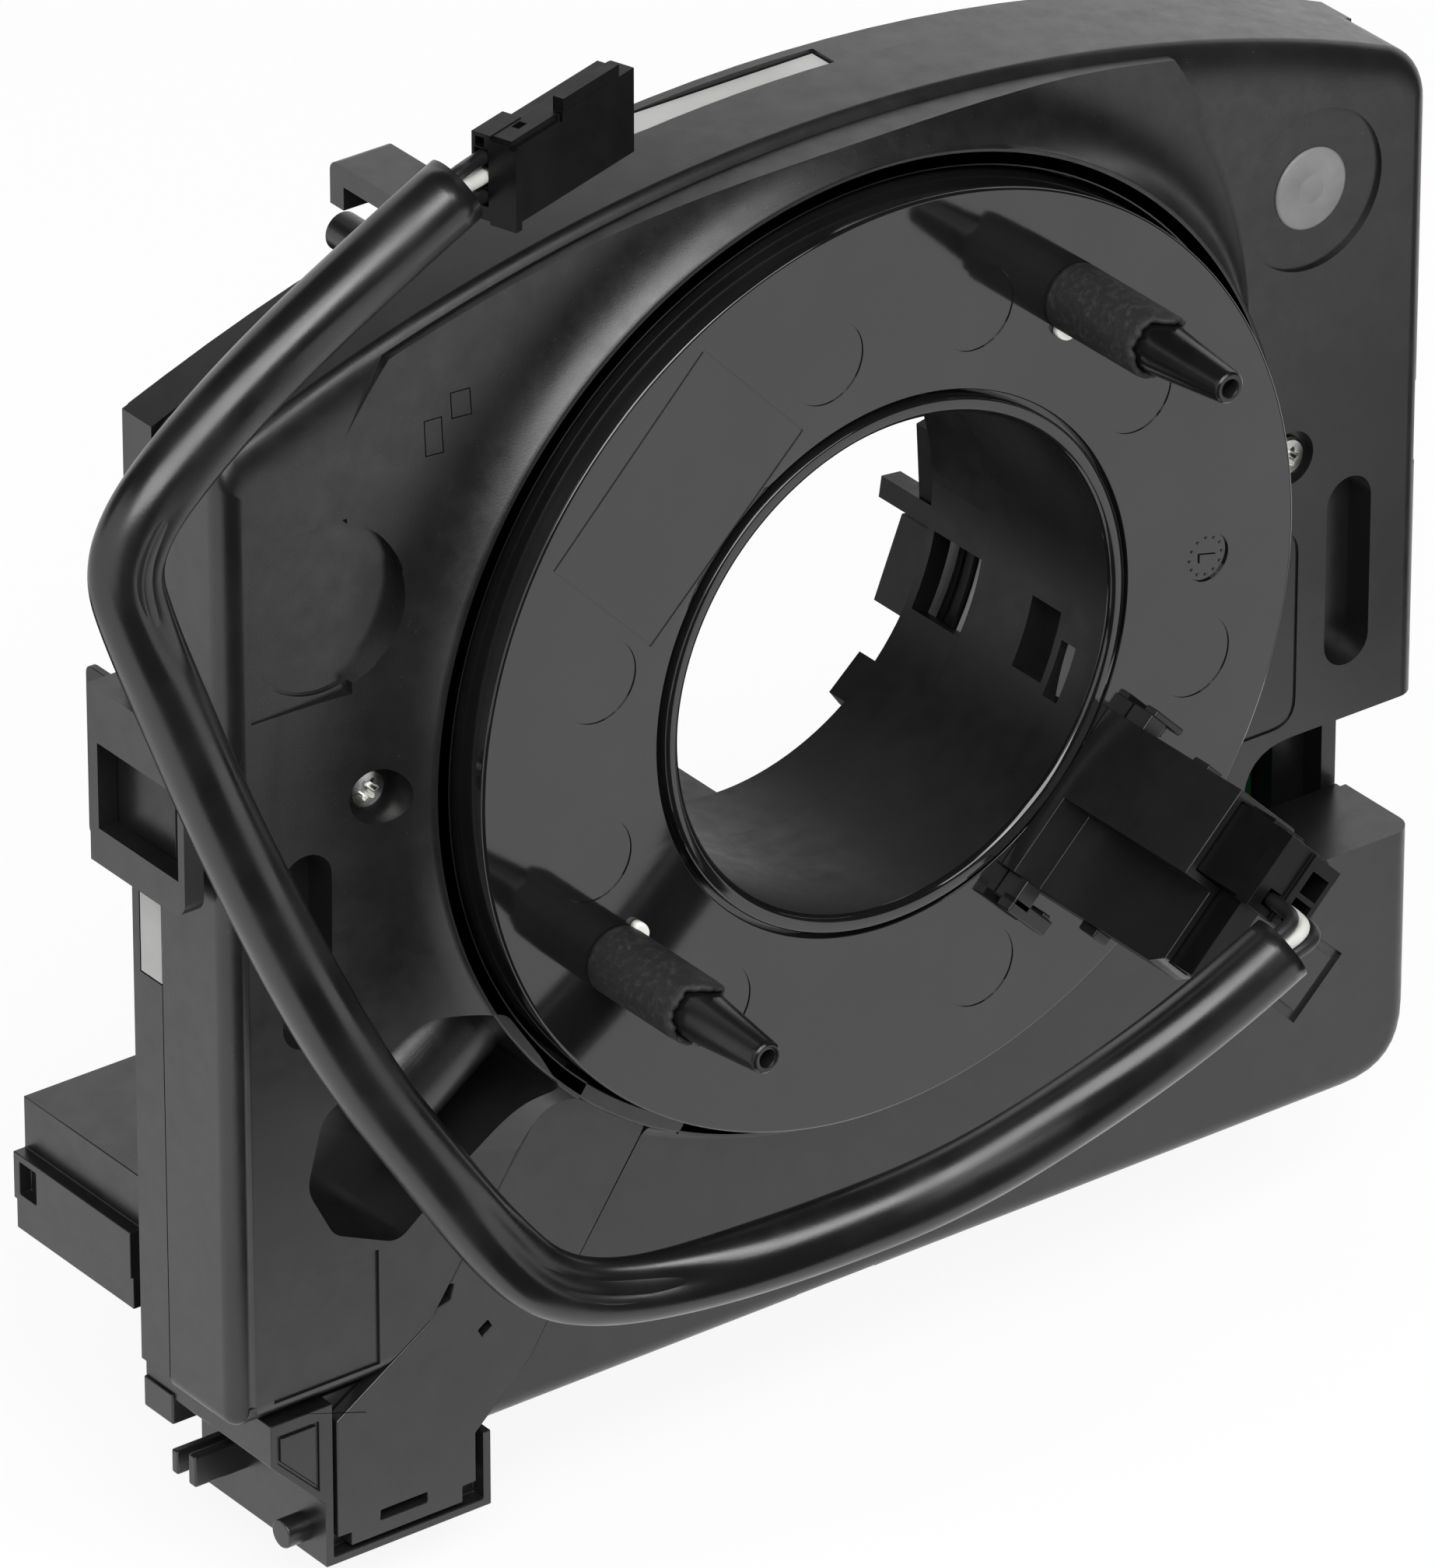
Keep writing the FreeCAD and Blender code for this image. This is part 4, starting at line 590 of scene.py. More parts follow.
def make_cover():
    cover = piece("cover", lambda bm: prism(bm, COVER_OUTLINE, COVER_FRONT, COVER_BACK, roll=2.4, steps=12,
                                            crowned=crown_roll), softness=0)
    ramp = ramp_piece()
    ramp_mesh = ramp.data
    carve(cover, [lambda bm: bm.from_mesh(ramp_mesh)], "UNION")
    bpy.data.objects.remove(ramp)
    front = COVER_FRONT
    badge = [tool_bar(*RIGHT_BADGE, BADGE_RADIUS, 0, front + 0.5, 64),
             tool_bar(*LEFT_BADGE, BADGE_RADIUS, 0, front + 0.6, 64),
             tool_prism(box_outline(-69.2, 12.4, -58.0, 30.8), 0, front + 0.22),
             lambda bm: turn(bm, [(8.5, front - 1), (8.8, front - 1), (8.8, front + 0.5), (8.5, front + 0.5)],
                             LEFT_BADGE, steps=64)]
    marks = [tool_prism(box_outline(-67.8, -62.2, -55.3, -49.4), front - 1, front + 0.3),
             tool_groove([(58.3, -52.4), (52.6, -58.2), (57.6, -63.4), (63.7, -57.5)], 1.0, front - 1,
                         front + 0.5),
             tool_groove(rounded(box_outline(46, -29, 57, -7), 3), 0.4, front - 0.2, front + 0.25),
             tool_groove(box_outline(-46.2, 37.7, -44.0, 40.4), 0.12, front - 1, front + 0.03),
             tool_groove(box_outline(-49.2, 34.6, -47.2, 38.3), 0.12, front - 1, front + 0.03)]
    seats = [tool_bar(x, z, 2.9, 0, front + 1.2) for x, z in SCREWS]
    deep = [tool_bar(0, 0, COVER_BORE, *THROUGH, 192), tool_prism(CHANNEL, *THROUGH),
            tool_prism(NOTCH, *THROUGH), tool_prism(RECESS, 0, front + 8.6),
            tool_prism(slot_outline(-63.3), 0, front + 3.4), tool_prism(slot_outline(63.3), 0, front + 3.4),
            tool_prism(box_outline(71.8, -4.9, 75, 4.4), *THROUGH),
            tool_prism(box_outline(-4.3, -75, 5.7, -73.1), *THROUGH)]
    carve(cover, deep + badge + marks + seats)
    ring = [(COVER_BORE, COLLAR_FRONT), (COLLAR - 0.2, COLLAR_FRONT), (COLLAR, COLLAR_FRONT + 0.2),
            (COLLAR, COVER_BACK), (COVER_BORE, COVER_BACK)]
    seam = inset(COVER_OUTLINE, -1.0)
    carve(cover, [tool_groove(seam, 1.7, COVER_BACK - 0.7, COVER_BACK + 1)])
    soften(cover, 0.28, 3)
    collar = piece("collar", lambda bm: turn(bm, ring, steps=192), softness=0.15)
    return cover, collar


def make_badge_centre():
    """The pale bare patch in the right badge, with the rings that its tool left."""
    rings = [(0.0, 9.0), (1.4, 9.0), (1.5, 9.04), (1.6, 9.0), (4.05, 9.0), (4.3, 9.1), (4.35, 9.35),
             (0.0, 9.35)]
    return piece("badge_centre", lambda bm: turn(bm, rings, RIGHT_BADGE, steps=64), softness=0)


cover, collar = make_cover()
badge_centre = make_badge_centre()
print("cover faces:", len(cover.data.polygons))

# %% [markdown]
# In the diagonal recess a half-round boss lies under the plate, with a small hole at its lower end.

# %% Boss in the recess


def make_recess_boss():
    turn_out = math.radians(215.5)
    out = Vector((math.cos(turn_out), 0, math.sin(turn_out)))
    lie = Frame(out * 50.6, across=(-out.z, 0, out.x), depth=out, up=(0, 1, 0))
    half = arc((0, 16.2), 6.7, 180, 360, 40)
    boss = piece("recess_boss", lambda bm: prism(bm, half, 0, 15, place=lie), softness=0)
    carve(boss, [tool_bar(-53.2, -32.6, 1.9, 0, 16)])
    soften(boss, 0.35, 3)
    return boss


recess_boss = make_recess_boss()

# %% [markdown]
# ## The channel strip and its tray
# A plain strip closes the cable channel. It sits flush in the cover with a dark gap on its left side,
# small latch windows on that side and a slot near its foot. The tray below it is a separate box.

# %% Strip and tray
STRIP = [(-34.6, -38.6), (-40.5, -46.9), (-49.3, -59.7), (-60.5, -66.9), (-60.5, -81.4), (-44.0, -81.4),
         (-44.0, -74.1), (-37.4, -68.1), (-31.9, -59.4), (-23.2, -46.6)]
STRIP_LATCHES = [(-43.9, -51.3), (-47.6, -56.8)]


def make_strip():
    strip = piece("channel_strip", lambda bm: prism(bm, STRIP, COVER_FRONT, COVER_FRONT + 1.6), softness=0)
    corners = [(-1.0, -1.7), (0.7, -1.3), (1.2, 0.4), (-0.2, 0.6)]
    windows = [tool_prism([(x + a, z + b) for a, b in corners], 0, 20) for x, z in STRIP_LATCHES]
    foot = [tool_prism(box_outline(-55.4, -79.8, -49.8, -78.7), 0, 20),
            tool_prism(box_outline(-61, -82, -58.9, -79.9), 0, 20),
            tool_prism(box_outline(-45.6, -82, -43.5, -79.6), 0, 20),
            tool_prism([(-43.6, -62.7), (-42.4, -61.9), (-41.9, -62.8), (-43.1, -63.6)], 0, 20),
            tool_bar(0, 0, COLLAR + 0.3, *THROUGH, 192)]
    carve(strip, windows + foot)
    soften(strip, 0.12)
    return strip


TRAY = [(-68.3, -64.6), (-68.3, -69.2), (-61.9, -75.6), (-61.9, -82.8), (-42.2, -82.8), (-42.2, -74.4),
        (-44.2, -74.4), (-50.4, -64.6)]


def make_tray():
    tray = piece("tray", lambda bm: prism(bm, TRAY, COVER_FRONT, 29.6), softness=0)
    seat = [(-61.0, -64.0), (-61.0, -81.9), (-43.1, -81.9), (-43.1, -74.0), (-48, -64.0)]
    facet = [(-67.5, -66.0), (-67.5, -69.0), (-62.6, -73.9), (-62.6, -66.0)]
    hollow = box_outline(-60.1, -81.0, -44.0, -66.0)
    carve(tray, [tool_prism(seat, 0, COVER_FRONT + 1.7), tool_prism(hollow, 13, 40),
                 tool_groove(facet, 0.35, 0, COVER_FRONT + 0.35)])
    soften(tray, 0.2)
    floor_outline = [(-33.9, -37.5), (-40.5, -46.9), (-49.3, -59.7), (-56.0, -64.6), (-56.0, -66.0),
                     (-46.5, -72.0), (-37.4, -68.1), (-31.9, -59.4), (-22.6, -45.7)]
    channel_floor = piece("channel_floor", tool_prism(floor_outline, COVER_FRONT + 1.7, 20.0), softness=0)
    carve(channel_floor, [tool_bar(0, 0, COLLAR + 0.3, *THROUGH, 192)])
    soften(channel_floor, 0.15)

    def fittings(bm):
        side = Frame((-61.9, 0, -80.0), across=(0, 1, 0), depth=(-1, 0, 0), up=(0, 0, 1))
        prism(bm, arc((12.8, 0), 1.5, 0, 360, 24)[:-1], -0.2, 2.6, place=side)
        for low, high in (((-68.6, 24.8, -72.0), (-64.5, 29.6, -68.6)),
                          ((-68.0, 22.0, -78.0), (-61.7, 23.2, -74.6)),
                          ((-68.0, 25.0, -78.0), (-61.7, 26.0, -75.4))):
            block(bm, low, high)
    fitting = piece("tray_fittings", fittings, softness=0.2)
    return tray, channel_floor, fitting


strip = make_strip()
tray, channel_floor, tray_fittings = make_tray()

# %% [markdown]
# ## The rotor disc
# The disc is a polished moulding. Its face shows the faint circles that ejector pins leave, a date dial
# and a thin rectangle, and a raised lip with a groove runs round the bore.

# %% Disc
BORE, HUB, LIP, GROOVE = 26.0, 28.6, 27.8, 28.4
EJECTORS = [(-8.4, 35.2), (9.6, 35.4), (29.1, 20.4), (36.8, -11.0), (10.4, -36.6), (-21.7, -29.9),
            (-35.9, -9.3), (-35.3, 9.8)]
DIAL = (38.3, -0.6)


def make_disc():
    edge = DISC_RADIUS
    lip = [(BORE, 0.1), (BORE + 0.4, -0.4), (BORE + 0.7, -0.5), (LIP - 0.25, -0.5), (LIP, -0.25), (LIP, 1.0),
           (GROOVE, 1.0), (GROOVE, 0.15), (GROOVE + 0.15, 0)]
    rim = [(edge - 0.35, 0), (edge - 0.1, 0.1), (edge, 0.35), (edge, 7.0), (47.4, 7.0), (47.4, 2.2)]
    profile = lip + rim + [(HUB, 2.2), (HUB, 19.2), (BORE, 19.2)]
    disc = piece("disc", lambda bm: turn(bm, profile, steps=256), softness=0)
    marks = [tool_bar(x, z, 4.4, -1, 0.12, 64) for x, z in EJECTORS]
    dial = [tool_bar(*DIAL, 2.6, -1, 0.25, 48)]
    label = [tool_groove([(-22.9, 41.2), (-40.7, 23.2), (-29.2, 11.5), (-11.1, 28.9)], 0.22, -1, 0.15)]
    # the hub's window and the shallow step in front of it
    windows = [((25, 6.5, -3.7), (28.2, 11.0, 3.7)), ((25, 3.4, -4.6), (26.5, 5.6, 1.2))]
    cuts = [boxes(window, place=facing(-20)) for window in windows]
    carve(disc, marks + dial + label + cuts)
    for polygon in disc.data.polygons:
        x, depth, z = polygon.center / MM
        polygon.material_index = 1 if math.hypot(x, z) < BORE + 0.2 and depth > 0.5 else 0
    soften(disc, 0.07, 2, 50)

    def dial_marks(bm):
        x, z = DIAL
        for dot in arc(DIAL, 2.0, 0, 330, 11):
            prism(bm, arc(dot, 0.16, 0, 360, 8)[:-1], 0.12, 0.3)
        prism(bm, [(x - 0.9, z - 0.5), (x + 1.2, z), (x - 0.9, z + 0.5)], 0.08, 0.3)
    dial_piece = piece("date_dial", dial_marks, softness=0.04)
    return disc, dial_piece


disc, date_dial = make_disc()
print("disc faces:", len(disc.data.polygons))

# %% [markdown]
# ## The driver pins
# Each pin is a hollow taper with a torn rubber sleeve round its lower part and a small white key at its
# foot.

# %% Pins, sleeves and keys
PIN_ANGLES = {"upper": 57.3, "lower": 211.9}
PIN_RING = 39.4


def pin_centre(angle):
    return PIN_RING * math.cos(math.radians(angle)), PIN_RING * math.sin(math.radians(angle))


def make_pin(name, angle):
    profile = [(0, -21), (0.8, -21), (0.8, -23.6), (0.95, -23.95), (1.1, -24.0), (1.4, -24.0), (1.62, -23.8),
               (1.7, -23.4), (2.62, -14.5), (2.65, -13.5), (2.65, 0.1), (0, 0.1)]
    return piece(f"{name}_pin", lambda bm: turn(bm, profile, pin_centre(angle), steps=48), softness=0.05)


def make_pin_sleeve(name, angle):
    """A rubber sleeve with a torn front end."""
    centre = pin_centre(angle)
    steps = 72

    def tear(turn_angle):
        ragged = 0.18 * math.sin(7 * turn_angle) + 0.12 * math.sin(17 * turn_angle + angle)
        flap = 1.7 * max(0.0, math.cos(turn_angle - math.radians(70))) ** 6
        return ragged - flap

    def make(bm):
        rings = []
        for radius, depth, torn in ((3.45, 0.0, 0), (3.5, -0.4, 0), (3.45, -12.2, 1), (3.38, -12.9, 1),
                                    (3.15, -13.1, 1), (2.85, -13.0, 1), (2.75, -12.4, 1), (2.72, 0.0, 0)):
            ring = []
            for step in range(steps):
                a = 2 * math.pi * step / steps
                r = radius + torn * 0.06 * math.sin(11 * a + angle)
                ring.append(bm.verts.new(PART(centre[0] + r * math.cos(a), depth + torn * tear(a),
                                              centre[1] + r * math.sin(a))))
            rings.append(ring)
        skin(bm, rings, around=True)
    return piece(f"{name}_sleeve", make, softness=0)


def make_keys():
    def keys(bm):
        for angle in PIN_ANGLES.values():
            oval = [(PIN_RING - 3.5 + 0.75 * math.cos(t), -0.6 + 1.15 * math.sin(t))
                    for t in (2 * math.pi * step / 24 for step in range(24))]
            prism(bm, oval, -0.9, 0, roll=0.3, place=facing(angle))
    return piece("white_keys", keys, softness=0)


pins = {name: make_pin(name, angle) for name, angle in PIN_ANGLES.items()}
pin_sleeves = {name: make_pin_sleeve(name, angle) for name, angle in PIN_ANGLES.items()}
keys = make_keys()

# %% [markdown]
# ## The socket and its plug
# The socket stands on the disc beside the bore. Its own directions are outwards from the bore, along
# the disc's edge and towards the wheel, so it is made in a frame of its own.

# %% Socket tower and cable plug
TOWER = Frame(across=(1, 0, -1), depth=(0, 1, 0), up=(1, 0, 1))
T_IN, T_OUT, T_HALF, T_TOP, T_STEP, T_WALL = 27.9, 37.3, 9.2, -20.8, 4.4, 0.9


def make_tower():
    tower = piece("socket", boxes(((T_IN, T_TOP, -T_HALF), (T_OUT, 0, T_HALF)), place=TOWER), softness=0)
    shelf = T_IN + T_STEP
    carve(tower, [boxes(((T_IN - 1, T_TOP - 1, -T_HALF - 1), (shelf, -2.0, -0.5)), place=TOWER)])
    broken = [(-T_HALF - 1, T_TOP - 1), (-T_HALF + 1.6, T_TOP - 1), (-T_HALF - 1, T_TOP + 3.4)]
    through = Frame(across=(1, 0, 1), depth=(1, 0, -1), up=(0, 1, 0))
    high_cell = ((T_IN + T_WALL, T_TOP - 1, 0.4), (T_OUT - T_WALL, -2.0, T_HALF - T_WALL))
    low_cell = ((shelf + T_WALL, T_TOP - 1, T_WALL - T_HALF), (T_OUT - T_WALL, -2.0, 0.5))
    carve(tower, [boxes(high_cell, place=TOWER), boxes(low_cell, place=TOWER),
                  tool_prism(broken, shelf - 1, T_OUT + 1, through)])
    soften(tower, 0.16)
    feet = [((30.6, -3.0, T_HALF - 0.1), (33.1, 0, T_HALF + 1.9)),
            ((30.9, -3.0, T_HALF + 1.7), (35.6, -1.2, T_HALF + 2.5)),
            ((31.3, -1.9, T_HALF + 0.6), (34.6, -1.4, T_HALF + 2.3)),
            ((29.3, -3.0, -T_HALF - 2.7), (31.8, 0, -T_HALF + 0.1)),
            ((29.3, -3.0, -T_HALF - 3.5), (35.6, -1.0, -T_HALF - 1.8)),
            ((34.4, -2.4, -T_HALF - 3.0), (35.6, 0, -T_HALF - 1.4))]
    feet += [((T_OUT - 2.4, -9.0, up), (T_OUT, -6.6, up + 1.0)) for up in (T_HALF - 0.1, -T_HALF - 0.9)]
    return tower, piece("socket_feet", boxes(*feet, place=TOWER), softness=0.2)


def make_cable_plug():
    fit = T_WALL + 0.1
    left, right, top, end = T_IN + fit, T_OUT - fit, T_HALF - fit, -29.6
    body = [((left, end + 1.8, 0.5), (right, -2.1, top)),
            ((left + T_STEP, -24.0, -T_HALF + fit), (right, -2.1, 1.0)),
            ((left - 0.4, end + 0.5, 0.1), (right - 3.2, end + 2.3, top - 0.1)),
            ((right - 4.0, end, 0.1), (right + 0.3, end + 2.6, top - 0.3)),
            ((left + 1.2, -24.6, top - 0.2), (right - 1.2, -21.2, top + 0.5))]
    plug = piece("cable_plug_body", boxes(*body, place=TOWER), softness=0)
    cells = [((right - 3.1, end - 1, low), (right - 0.35, end + 3.2, high))
             for low, high in ((0.9, 3.5), (4.1, 6.5))]
    cells.append(((right - 6.2, end - 1, 1.0), (right - 4.4, end + 3.2, 2.8)))
    carve(plug, [boxes(cell, place=TOWER) for cell in cells])
    soften(plug, 0.18)
    return plug


tower, tower_feet = make_tower()
cable_plug = make_cable_plug()

# %% [markdown]
# ## The airbag plug
# A flat plug. A plain rib stands across its end, and the wires enter behind the rib. A lock slide, taken
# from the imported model, stands on its upper edge.

# %% Airbag plug
PLUG_YAW = math.radians(17.7)
PLUG = Frame((-48.77, -2.18, 67.6), across=(math.cos(PLUG_YAW), math.sin(PLUG_YAW), 0),
             depth=(-math.sin(PLUG_YAW), math.cos(PLUG_YAW), 0))


def make_airbag_plug():
    body = [((0.4, -2.1, -4.35), (19.4, 0.6, 4.35)), ((0.4, 0.5, -4.35), (19.4, 2.1, 3.9)),
            ((0.0, 0.3, -4.35), (4.9, 2.45, 4.45)), ((0.0, -2.65, -4.7), (0.9, 0.4, 3.95))]
    plug = piece("airbag_plug_body", boxes(*body, place=PLUG), softness=0)
    cuts = [((-1.0, 0.55, z - 0.9), (1.8, 2.1, z + 0.9)) for z in (-2.0, 0.0, 2.0)]
    cuts += [((-1.0, 1.0, 3.05), (1.5, 2.0, 4.05)), ((2.95, -0.8, 3.0), (4.25, 0.0, 6.0)),
             ((-1.0, -3.0, 3.6), (7.4, -1.85, 6.0)), ((7.6, -3.0, 3.4), (8.1, -1.5, 6.0))]
    carve(plug, [boxes(cut, place=PLUG) for cut in cuts])
    soften(plug, 0.25, 3)
    return plug


airbag_plug = make_airbag_plug()

# %% [markdown]
# ## The plug hood and the latch at the back
# The hood for the car's plug stands behind the cover. A rail with a small window runs along its left
# side. Further up, the latch frame is closed behind by a plain wall.

# %% Hood and latch wall
RAIL_PROUD, RAIL_FOOT, RAIL_TOP, HOOD_WALL = 1.4, 3.5, 8.7, 1.6


def make_hood():
    low, high = ([value / MM for value in corner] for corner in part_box("rear_connector"))
    left, right = low[0] + RAIL_PROUD, high[0] - RAIL_PROUD
    start, end, bottom, top = low[1], high[1], low[2], high[2]
    hood = piece("plug_hood", boxes(((left, start, bottom), (right, end, top))), softness=0)
    for rail in (((low[0], start, bottom + RAIL_FOOT), (high[0], end, bottom + RAIL_TOP)),
                 ((low[0] + 0.3, start, bottom), (left + 1, end, bottom + RAIL_FOOT + 0.1))):
        carve(hood, [boxes(rail)], "UNION")
    mouth = ((left + HOOD_WALL, start + 2.5, bottom + HOOD_WALL),
             (right - HOOD_WALL, end + 1, top - HOOD_WALL))
    window = ((low[0] - 1, end - 3.8, bottom + 4.3), (left, end - 1.0, bottom + 7.9))
    carve(hood, [boxes(mouth), boxes(window)])
    soften(hood, 0.25)
    return hood


def make_latch_back():
    """The wall behind the latch frame's window."""
    face, thickness = -73.3, 0.8
    outline = rounded(box_outline(15.6, -7.2, 30.0, 11.2), 1.0)
    side = Frame((face, 0, 0), across=(0, 1, 0), depth=(1, 0, 0), up=(0, 0, 1))
    return piece("latch_back", lambda bm: prism(bm, outline, 0, thickness, place=side), softness=0.1)


hood = make_hood()
latch_back = make_latch_back()

# %% [markdown]
# ## Screws
# Two pan-head screws with a six-lobed recess close the cover. They are the brightest things on it.

# %% Screws


def make_screws():
    def head(bm):
        for x, z in SCREWS:
            profile = [(0, 9.0), (1.2, 9.0), (1.85, 9.1), (2.1, 9.35), (2.15, 9.7), (2.15, 10.1), (0, 10.1)]
            turn(bm, profile, (x, z), steps=48)
    screws = piece("screws", head, softness=0)
    star = []
    for x, z in SCREWS:
        lobes = []
        for step in range(48):
            a = 2 * math.pi * step / 48
            radius = 1.0 + 0.24 * math.cos(6 * a)
            lobes.append((x + radius * math.cos(a), z + radius * math.sin(a)))
        star.append(tool_prism(lobes, 8, 9.8))
    carve(screws, star)
    soften(screws, 0.06)
    return screws


screws = make_screws()

# %% [markdown]
# ## Materials
# Every material starts from what the piece is made of and how it was made. Colours are written as the
# eye names them, in sRGB, and turned to linear light by one function. Grain and marks are sized in real
# millimetres, from the piece's own coordinates in metres.

# %% Colour and nodes


def linear(code):
    """A colour written as #rrggbb in linear light."""
    parts = [int(code[step:step + 2], 16) / 255 for step in (1, 3, 5)]
    return (*[part / 12.92 if part <= 0.04045 else ((part + 0.055) / 1.055) ** 2.4 for part in parts], 1)


def add_node(tree, kind, values=None, output=0, **settings):
    """Adds a node with its settings, links or sets its inputs, and gives one output, or the node itself."""
    node = tree.nodes.new("ShaderNode" + kind)
    for name, setting in settings.items():
        setattr(node, name, setting)
    for name, value in (values or {}).items():
        if isinstance(value, bpy.types.NodeSocket):
            tree.links.new(value, node.inputs[name])
        else:
            node.inputs[name].default_value = value
    return node if output is None else node.outputs[output]


def new_material(name):
    material = bpy.data.materials.new(name)
    material.use_nodes = True
    tree = material.node_tree
    tree.nodes.clear()
    return material, tree, add_node(tree, "TexCoord", output="Object")


def finish_material(tree, values):
    """Ends the tree in one principled surface."""
    add_node(tree, "OutputMaterial", {"Surface": add_node(tree, "BsdfPrincipled", values)}, None)


def pattern(place, size, detail=3, roughness=0.55):
    """Inputs of a noise whose features are the given size in millimetres."""
    return {"Vector": place, "Scale": 1 / (size * MM), "Detail": detail, "Roughness": roughness}


def reach(value, low, high, out_low=0, out_high=1):
    """Inputs that stretch a value from one range to another."""
    return {"Value": value, "From Min": low, "From Max": high, "To Min": out_low, "To Max": out_high}


def relief(height, depth, strength=1.0):
    """Inputs of a relief of the given depth in millimetres."""
    return {"Height": height, "Distance": depth * MM, "Strength": strength}


# %% [markdown]
# Moulded plastic differs by its tool: an eroded tool leaves a fine even grain, a polished one a mirror
# that is still a little wavy. Both carry faint flow clouds and a few light specks of dust.

# %% Plastics


def moulded(name, colour, cloud_colour, roughness, grain, depth, cloud=14.0, dust=0.0, wave=0.0, index=1.5):
    """Moulded plastic: a colour with faint clouds, a grain in millimetres and a scatter of dust."""
    material, tree, place = new_material(name)
    clouds = add_node(tree, "TexNoise", pattern(place, cloud, 4))
    clouds = add_node(tree, "MapRange", reach(clouds, 0.35, 0.7))
    base = add_node(tree, "Mix", {0: clouds, 6: linear(colour), 7: linear(cloud_colour)}, 2, data_type="RGBA")
    if dust:
        specks = add_node(tree, "TexNoise", pattern(place, 0.35, 2))
        specks = add_node(tree, "MapRange", reach(specks, 0.70, 0.78, 0, dust))
        base = add_node(tree, "Mix", {0: specks, 6: base, 7: linear("#8a8a88")}, 2, data_type="RGBA")
    wear = add_node(tree, "TexNoise", pattern(place, 3.0, 5, 0.7))
    wear = add_node(tree, "MapRange", reach(wear, 0.3, 0.7, roughness * 0.85, roughness * 1.2))
    normal = add_node(tree, "Bump", relief(add_node(tree, "TexNoise", pattern(place, grain, 2)), depth))
    if wave:
        waves = relief(add_node(tree, "TexNoise", pattern(place, 9.0, 2)), wave)
        normal = add_node(tree, "Bump", {**waves, "Normal": normal})
    finish_material(tree, {"Base Color": base, "Roughness": wear, "Normal": normal, "IOR": index})
    return material


MATERIALS = {
    # spark-eroded polyester moulding: a fine satin grain that turns grey where it faces the light
    "housing": moulded("glass_filled_polyester_eroded", "#121213", "#1b1b1c", 0.32, 0.16, 0.008, dust=0.10,
                       index=1.64),
    # the same plastic off a smoother insert: flatter and a little paler, for the strip
    "strip": moulded("glass_filled_polyester_smooth", "#171718", "#202021", 0.34, 0.22, 0.006, dust=0.12,
                     index=1.64),
    # the same plastic where a worn insert left it bare and chalky
    "bare": moulded("glass_filled_polyester_bare", "#6c6c6c", "#7b7b7b", 0.5, 0.3, 0.01, cloud=5.0),
    # acetal from a polished tool: near mirror, so it shows the pins and the bright table
    "disc": moulded("acetal_polished_tool", "#101011", "#161617", 0.07, 0.30, 0.0006, dust=0.05, wave=0.003,
                    index=1.68),
    # acetal from a plain tool: the socket and its feet
    "socket": moulded("acetal_plain_tool", "#161616", "#1c1c1c", 0.30, 0.25, 0.004, index=1.45),
    # the same acetal inside the hub, where the tool's pull left it satin
    "hub": moulded("acetal_drawn_tool", "#101010", "#161616", 0.40, 0.18, 0.004, index=1.34),
    # flame-retardant nylon of the plugs: flat and very dark
    "plug": moulded("nylon_flat", "#090909", "#0f0f0f", 0.34, 0.25, 0.006, index=1.28),
    # plain grey nylon of the inner carrier, seen as pale strips at the joint
    "carrier": moulded("nylon_undyed_grey", "#a3a3a1", "#b1b1af", 0.45, 0.25, 0.006),
    # white acetal of the small keys
    "white": moulded("acetal_undyed", "#e2e2dc", "#ebebe6", 0.30, 0.30, 0.002),
    # glossy nylon driver pins, turned smooth by the tool
    "pin": moulded("nylon_glossy", "#0e0e0e", "#151515", 0.22, 0.20, 0.003),
    # solder resist over glass laminate, inside the housing
    "board": moulded("solder_resist_on_glass_laminate", "#16351f", "#1d4428", 0.30, 0.40, 0.010),
    # laminated polyester film of the wound cable
    "film": moulded("polyester_film_laminate", "#6d5a3a", "#7d6844", 0.25, 0.50, 0.004),
}


def rubber(name, colour, chalky, roughness, lump, depth):
    """Cut rubber: matt, lumpy, with a chalky bloom on its high spots."""
    material, tree, place = new_material(name)
    lumps = add_node(tree, "TexNoise", pattern(place, lump, 6, 0.7))
    bloom = add_node(tree, "MapRange", reach(lumps, 0.5, 0.75))
    base = add_node(tree, "Mix", {0: bloom, 6: linear(colour), 7: linear(chalky)}, 2, data_type="RGBA")
    pores = add_node(tree, "Bump", relief(add_node(tree, "TexNoise", pattern(place, 0.12, 2)), 0.02, 0.6))
    normal = add_node(tree, "Bump", {**relief(lumps, depth), "Normal": pores})
    finish_material(tree, {"Base Color": base, "Roughness": roughness, "Normal": normal, "IOR": 1.48})
    return material


def tubing(name, colour, dull, roughness):
    """Soft extruded tubing: glossy, with dull rubbed patches and fine lines."""
    material, tree, place = new_material(name)
    rubbed = add_node(tree, "TexNoise", pattern(place, 9.0, 3, 0.5))
    rubbed = add_node(tree, "MapRange", reach(rubbed, 0.4, 0.8))
    base = add_node(tree, "Mix", {0: rubbed, 6: linear(colour), 7: linear(dull)}, 2, data_type="RGBA")
    gloss = add_node(tree, "MapRange", reach(rubbed, 0, 1, roughness, roughness * 1.7))
    normal = add_node(tree, "Bump", relief(add_node(tree, "TexNoise", pattern(place, 0.35, 3)), 0.006))
    finish_material(tree, {"Base Color": base, "Roughness": gloss, "Normal": normal, "IOR": 1.62})
    return material


